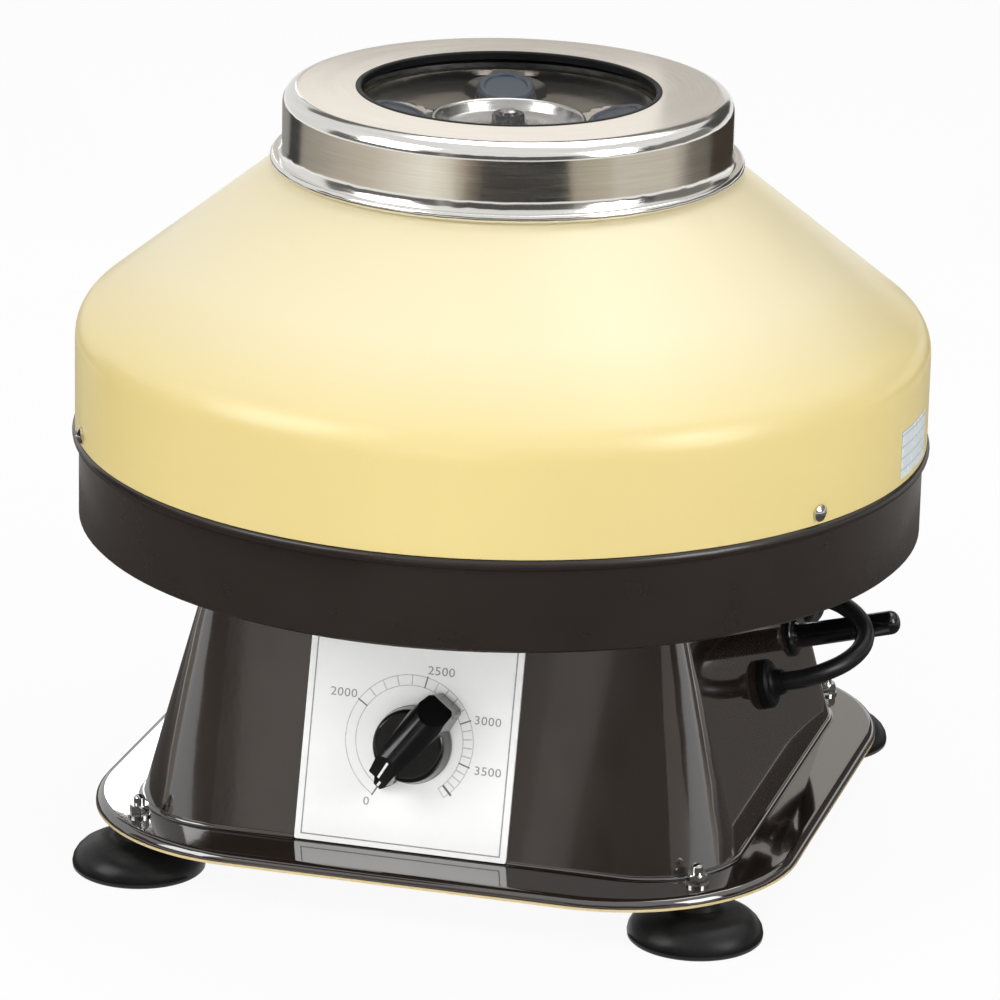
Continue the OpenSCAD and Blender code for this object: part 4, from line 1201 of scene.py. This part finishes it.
@dataclass
class SpeedDial(Assembly):
    """The printed plate, its scale, the pointer knob and the regulator behind them."""

    angle: float = 24.0
    smooth: str = "speed_knob"
    coats: Coats = (
        (Finishes.plate, "dial_plate"), (Finishes.black, "speed_knob"),
        (Finishes.machined, "knob_spindle"), (Finishes.plated, "control_nut"),
        (Finishes.wafer, "speed_control"))
    lean: float = 15.2
    centre: Point = (-5.3, -118.2576, 70.5998)
    face: float = 1.25
    ink: float = 0.05
    outer: float = 28.8
    inner: float = 24.2
    start: float = 30.0
    stops: tuple[float, ...] = (122.8, 191.4, 246.0, 287.1, 317.0)
    parts: tuple[int, ...] = (5, 5, 5, 4)
    last_mark: float = 316.0
    end: float = 322.0
    ring_steps: int = 96
    plate_half: float = 47.95
    plate_low: float = -48.2
    plate_high: float = 46.8
    border: float = 3.0
    knob_at: Flat = (2.5, -1.2)
    knob_foot: float = 2.0
    knob_height: float = 22.6
    rest_turn: float = 36.0
    figure_share: float = 0.70
    groove_half: float = 0.53

    def matrix(self) -> Matrix:
        """From the plate's plane in millimetres to the frame in metres.

        Returns:
            The change of coordinates.
        """
        a = math.radians(self.lean)
        x, y, z = (1, 0, 0), (0, math.sin(a), math.cos(a)), (0, -math.cos(a), math.sin(a))
        rows = [[one * MM for one in row] for row in zip(x, y, z, self.centre)]
        return Matrix([*rows, [0, 0, 0, 1]])

    def spot(self, turn: float, radius: float) -> Flat:
        """A point on the scale: degrees clockwise from straight down, and millimetres out."""
        a = math.radians(turn)
        return (-radius * math.sin(a), -radius * math.cos(a))

    def tick(self, turn: float, low: float, high: float, width: float) -> Strip:
        """A straight mark across the scale, from one radius to another."""
        return ([self.spot(turn, low), self.spot(turn, high)], width, False)

    def inlay(self, name: str, strips: Sequence[Strip],
              finish: Finish, lift: float = 0.0) -> None:
        """Prints strips on the plate.

        Args:
            name: The piece's name.
            strips: Path, width and closed flag of each.
            finish: The ink.
            lift: How much higher than the other inks it lies.
        """
        points: list[Point] = []
        faces: list[tuple[int, ...]] = []
        for path, width, closed in strips:
            some, more = Shapes.ribbon(path, width, self.face - 0.02, self.face + self.ink + lift,
                                       closed)
            faces += [tuple(i + len(points) for i in f) for f in more]
            points += some
        to_frame = self.matrix()
        piece = Shapes.add(name, [to_frame @ Vector(p) for p in points], faces, False)
        finish.on(piece)
        settle(piece, Body.STAND)

    def scale(self) -> None:
        """The border, the two rings, their divisions and the main marks."""
        edge = self.plate_half - self.border
        low, high = self.plate_low + 2.6, self.plate_high - self.border
        self.inlay("dial_border", [([(-edge, low), (edge, low), (edge, high), (-edge, high)],
                                    0.6, True)], Finishes.line_ink)
        span, count = self.end - self.start, self.ring_steps
        self.inlay("dial_rings", [([self.spot(self.start + span * i / count, radius)
                                    for i in range(count + 1)], 0.42, False)
                                  for radius in (self.outer, self.inner)], Finishes.pale_ink)
        minor = []
        for one, two, parts in zip(self.stops, self.stops[1:], self.parts):
            minor += [self.tick(one + (two - one) * k / parts, self.inner, self.outer, 0.55)
                      for k in range(1, parts)]
        minor.append(self.tick(self.end, self.inner, self.outer, 0.42))
        self.inlay("dial_divisions", minor, Finishes.pale_ink, 0.01)
        main = [self.tick(turn, 24.0, 29.4, 0.62) for turn in (self.start, *self.stops[:-1])]
        main.append(self.tick(self.last_mark, 24.4, 30.0, 0.95))
        self.inlay("dial_main_marks", main, Finishes.dark_ink, 0.02)

    def figures(self) -> None:
        """Plain speed figures at the main marks."""
        spots = {"0": (-16.9, -28.4, 3.6), "2000": (-31.3, 17.7, 3.7), "2500": (11.6, 31.4, 3.7),
                 "3000": (34.3, 12.2, 3.7), "3500": (36.3, -9.6, 3.7)}
        to_frame = self.matrix()
        for text, (x, y, tall) in spots.items():
            shape = bpy.data.curves.new("figure_" + text, "FONT")
            shape.body = text
            shape.size = tall / self.figure_share
            shape.align_x = "CENTER"
            shape.align_y = "CENTER"
            shape.space_character = 1.06
            shape.extrude = 0.03
            shape.resolution_u = 4
            holder = bpy.data.objects.new("figure_holder", shape)
            bpy.context.scene.collection.objects.link(holder)
            bpy.context.view_layer.update()
            mesh = bpy.data.meshes.new_from_object(
                holder.evaluated_get(bpy.context.evaluated_depsgraph_get()))
            bpy.data.objects.remove(holder)
            wider = Matrix.Diagonal((1.12, 1.0, 1.0, 1.0))
            mesh.transform(to_frame @ Matrix.Translation((x, y, self.face + 0.02)) @ wider)
            piece = bpy.data.objects.new("dial_figure_" + text, mesh)
            bpy.context.scene.collection.objects.link(piece)
            Finishes.grey_ink.on(piece)
            settle(piece, Body.STAND)

    def pointer(self) -> None:
        """The white line let into the grooves of the knob's bar and tip."""
        turn = (self.matrix() @ Matrix.Translation((*self.knob_at, 0))
                @ Matrix.Rotation(math.radians(-self.rest_turn), 4, "Z"))
        grooves = (((0, -7, self.knob_foot + self.knob_height), 33.0, -13.05, -2.25, -0.44),
                   ((0, -18.7, self.knob_foot + 4.6), 25.0, -6.15, -1.05, -0.34))
        points: list[Vector] = []
        faces: list[tuple[int, ...]] = []
        box = ((0, 1, 2, 3), (4, 5, 6, 7), (0, 1, 5, 4), (1, 2, 6, 5), (2, 3, 7, 6), (3, 0, 4, 7))
        side = self.groove_half
        for start, slope, tip, back, deep in grooves:
            lay = Matrix.Translation(start) @ Matrix.Rotation(math.radians(slope), 4, "X")
            faces += [tuple(len(points) + i for i in face) for face in box]
            points += [turn @ lay @ Vector((x, y, z)) for z in (deep, -0.05) for x, y in
                       ((-side, tip), (side, tip), (side, back), (-side, back))]
        line = Shapes.add("pointer_line", points, faces, False)
        Finishes.white_ink.on(line)
        settle(line, Body.KNOB)

    def build(self) -> None:
        """Prints the dial and inlays the knob."""
        super().build()
        self.scale()
        self.figures()
        self.pointer()


@dataclass
class Chamber(Assembly):
    """The lower bowl, the spun cover and their fasteners and label."""

    angle: float = 36.0
    smooth: str = "lower_bowl chamber_cover rating_label cover_screws"
    coats: Coats = (
        (Finishes.brown, "lower_bowl"),
        (Finishes.cream, "chamber_cover"),
        (Finishes.plated, "cover_screws bowl_bolts bowl_nuts"),
        (Finishes.label, "rating_label"))


@dataclass
class Motor(Assembly):
    """The motor that hangs on its isolators in the housing."""

    angle: float = 30.0
    smooth: str = "motor_body motor_upper_bell motor_lower_bell motor_isolators rotor_shaft"
    coats: Coats = (
        (Finishes.sheet, "motor_plate motor_body"),
        (Finishes.turned, "motor_upper_bell motor_lower_bell cooling_fan"),
        (Finishes.rubber, "motor_isolators shaft_seal"),
        (Finishes.plated, "motor_bolts"),
        (Finishes.dark_steel, "stator_core armature_core"),
        (Finishes.wire, "field_coils armature_windings"),
        (Finishes.wafer, "brush_holders"),
        (Finishes.carbon, "carbon_brushes"),
        (Finishes.machined, "shaft_bearings rotor_shaft"),
        (Finishes.copper, "commutator"))


@dataclass
class RotorHead(Assembly):
    """The polished dish, its tubes and caps, and the hub's disc, washer and nut."""

    angle: float = 34.0
    smooth: str = "rotor_dish tube_caps hub_disc tube_sleeves sleeve_carrier rotor_hub"
    coats: Coats = (
        (Finishes.dish, "rotor_dish"),
        (Finishes.turned, "rotor_hub sleeve_carrier tube_sleeves"),
        (Finishes.disc, "hub_disc"),
        (Finishes.cap, "tube_caps"),
        (Finishes.plated, "hub_washer"),
        (Finishes.blued, "hub_nut"))


@dataclass
class Lid(Assembly):
    """The stainless ring with its gasket, window, retainer and nuts."""

    angle: float = 36.0
    smooth: str = "lid_ring window_gasket"
    coats: Coats = (
        (Finishes.steel, "lid_ring"),
        (Finishes.gasket, "window_gasket"),
        (Finishes.window, "window_pane"),
        (Finishes.sheet, "window_retainer"),
        (Finishes.plated, "window_nuts"))


def write_sizes() -> None:
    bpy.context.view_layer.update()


def main() -> None:
    """Builds the whole scene in order."""
    logging.basicConfig(level=logging.INFO, format="%(name)s %(message)s")
    studio = Studio()
    studio.camera()
    for part in (MainsLead(), Stand(), SpeedDial(), Chamber(), Motor(), RotorHead(), Lid()):
        part.build()
        part.dress()
        LOG.info("built and dressed %s", type(part).__name__)
    studio.build()
    write_sizes()


if __name__ == "__main__":
    main()
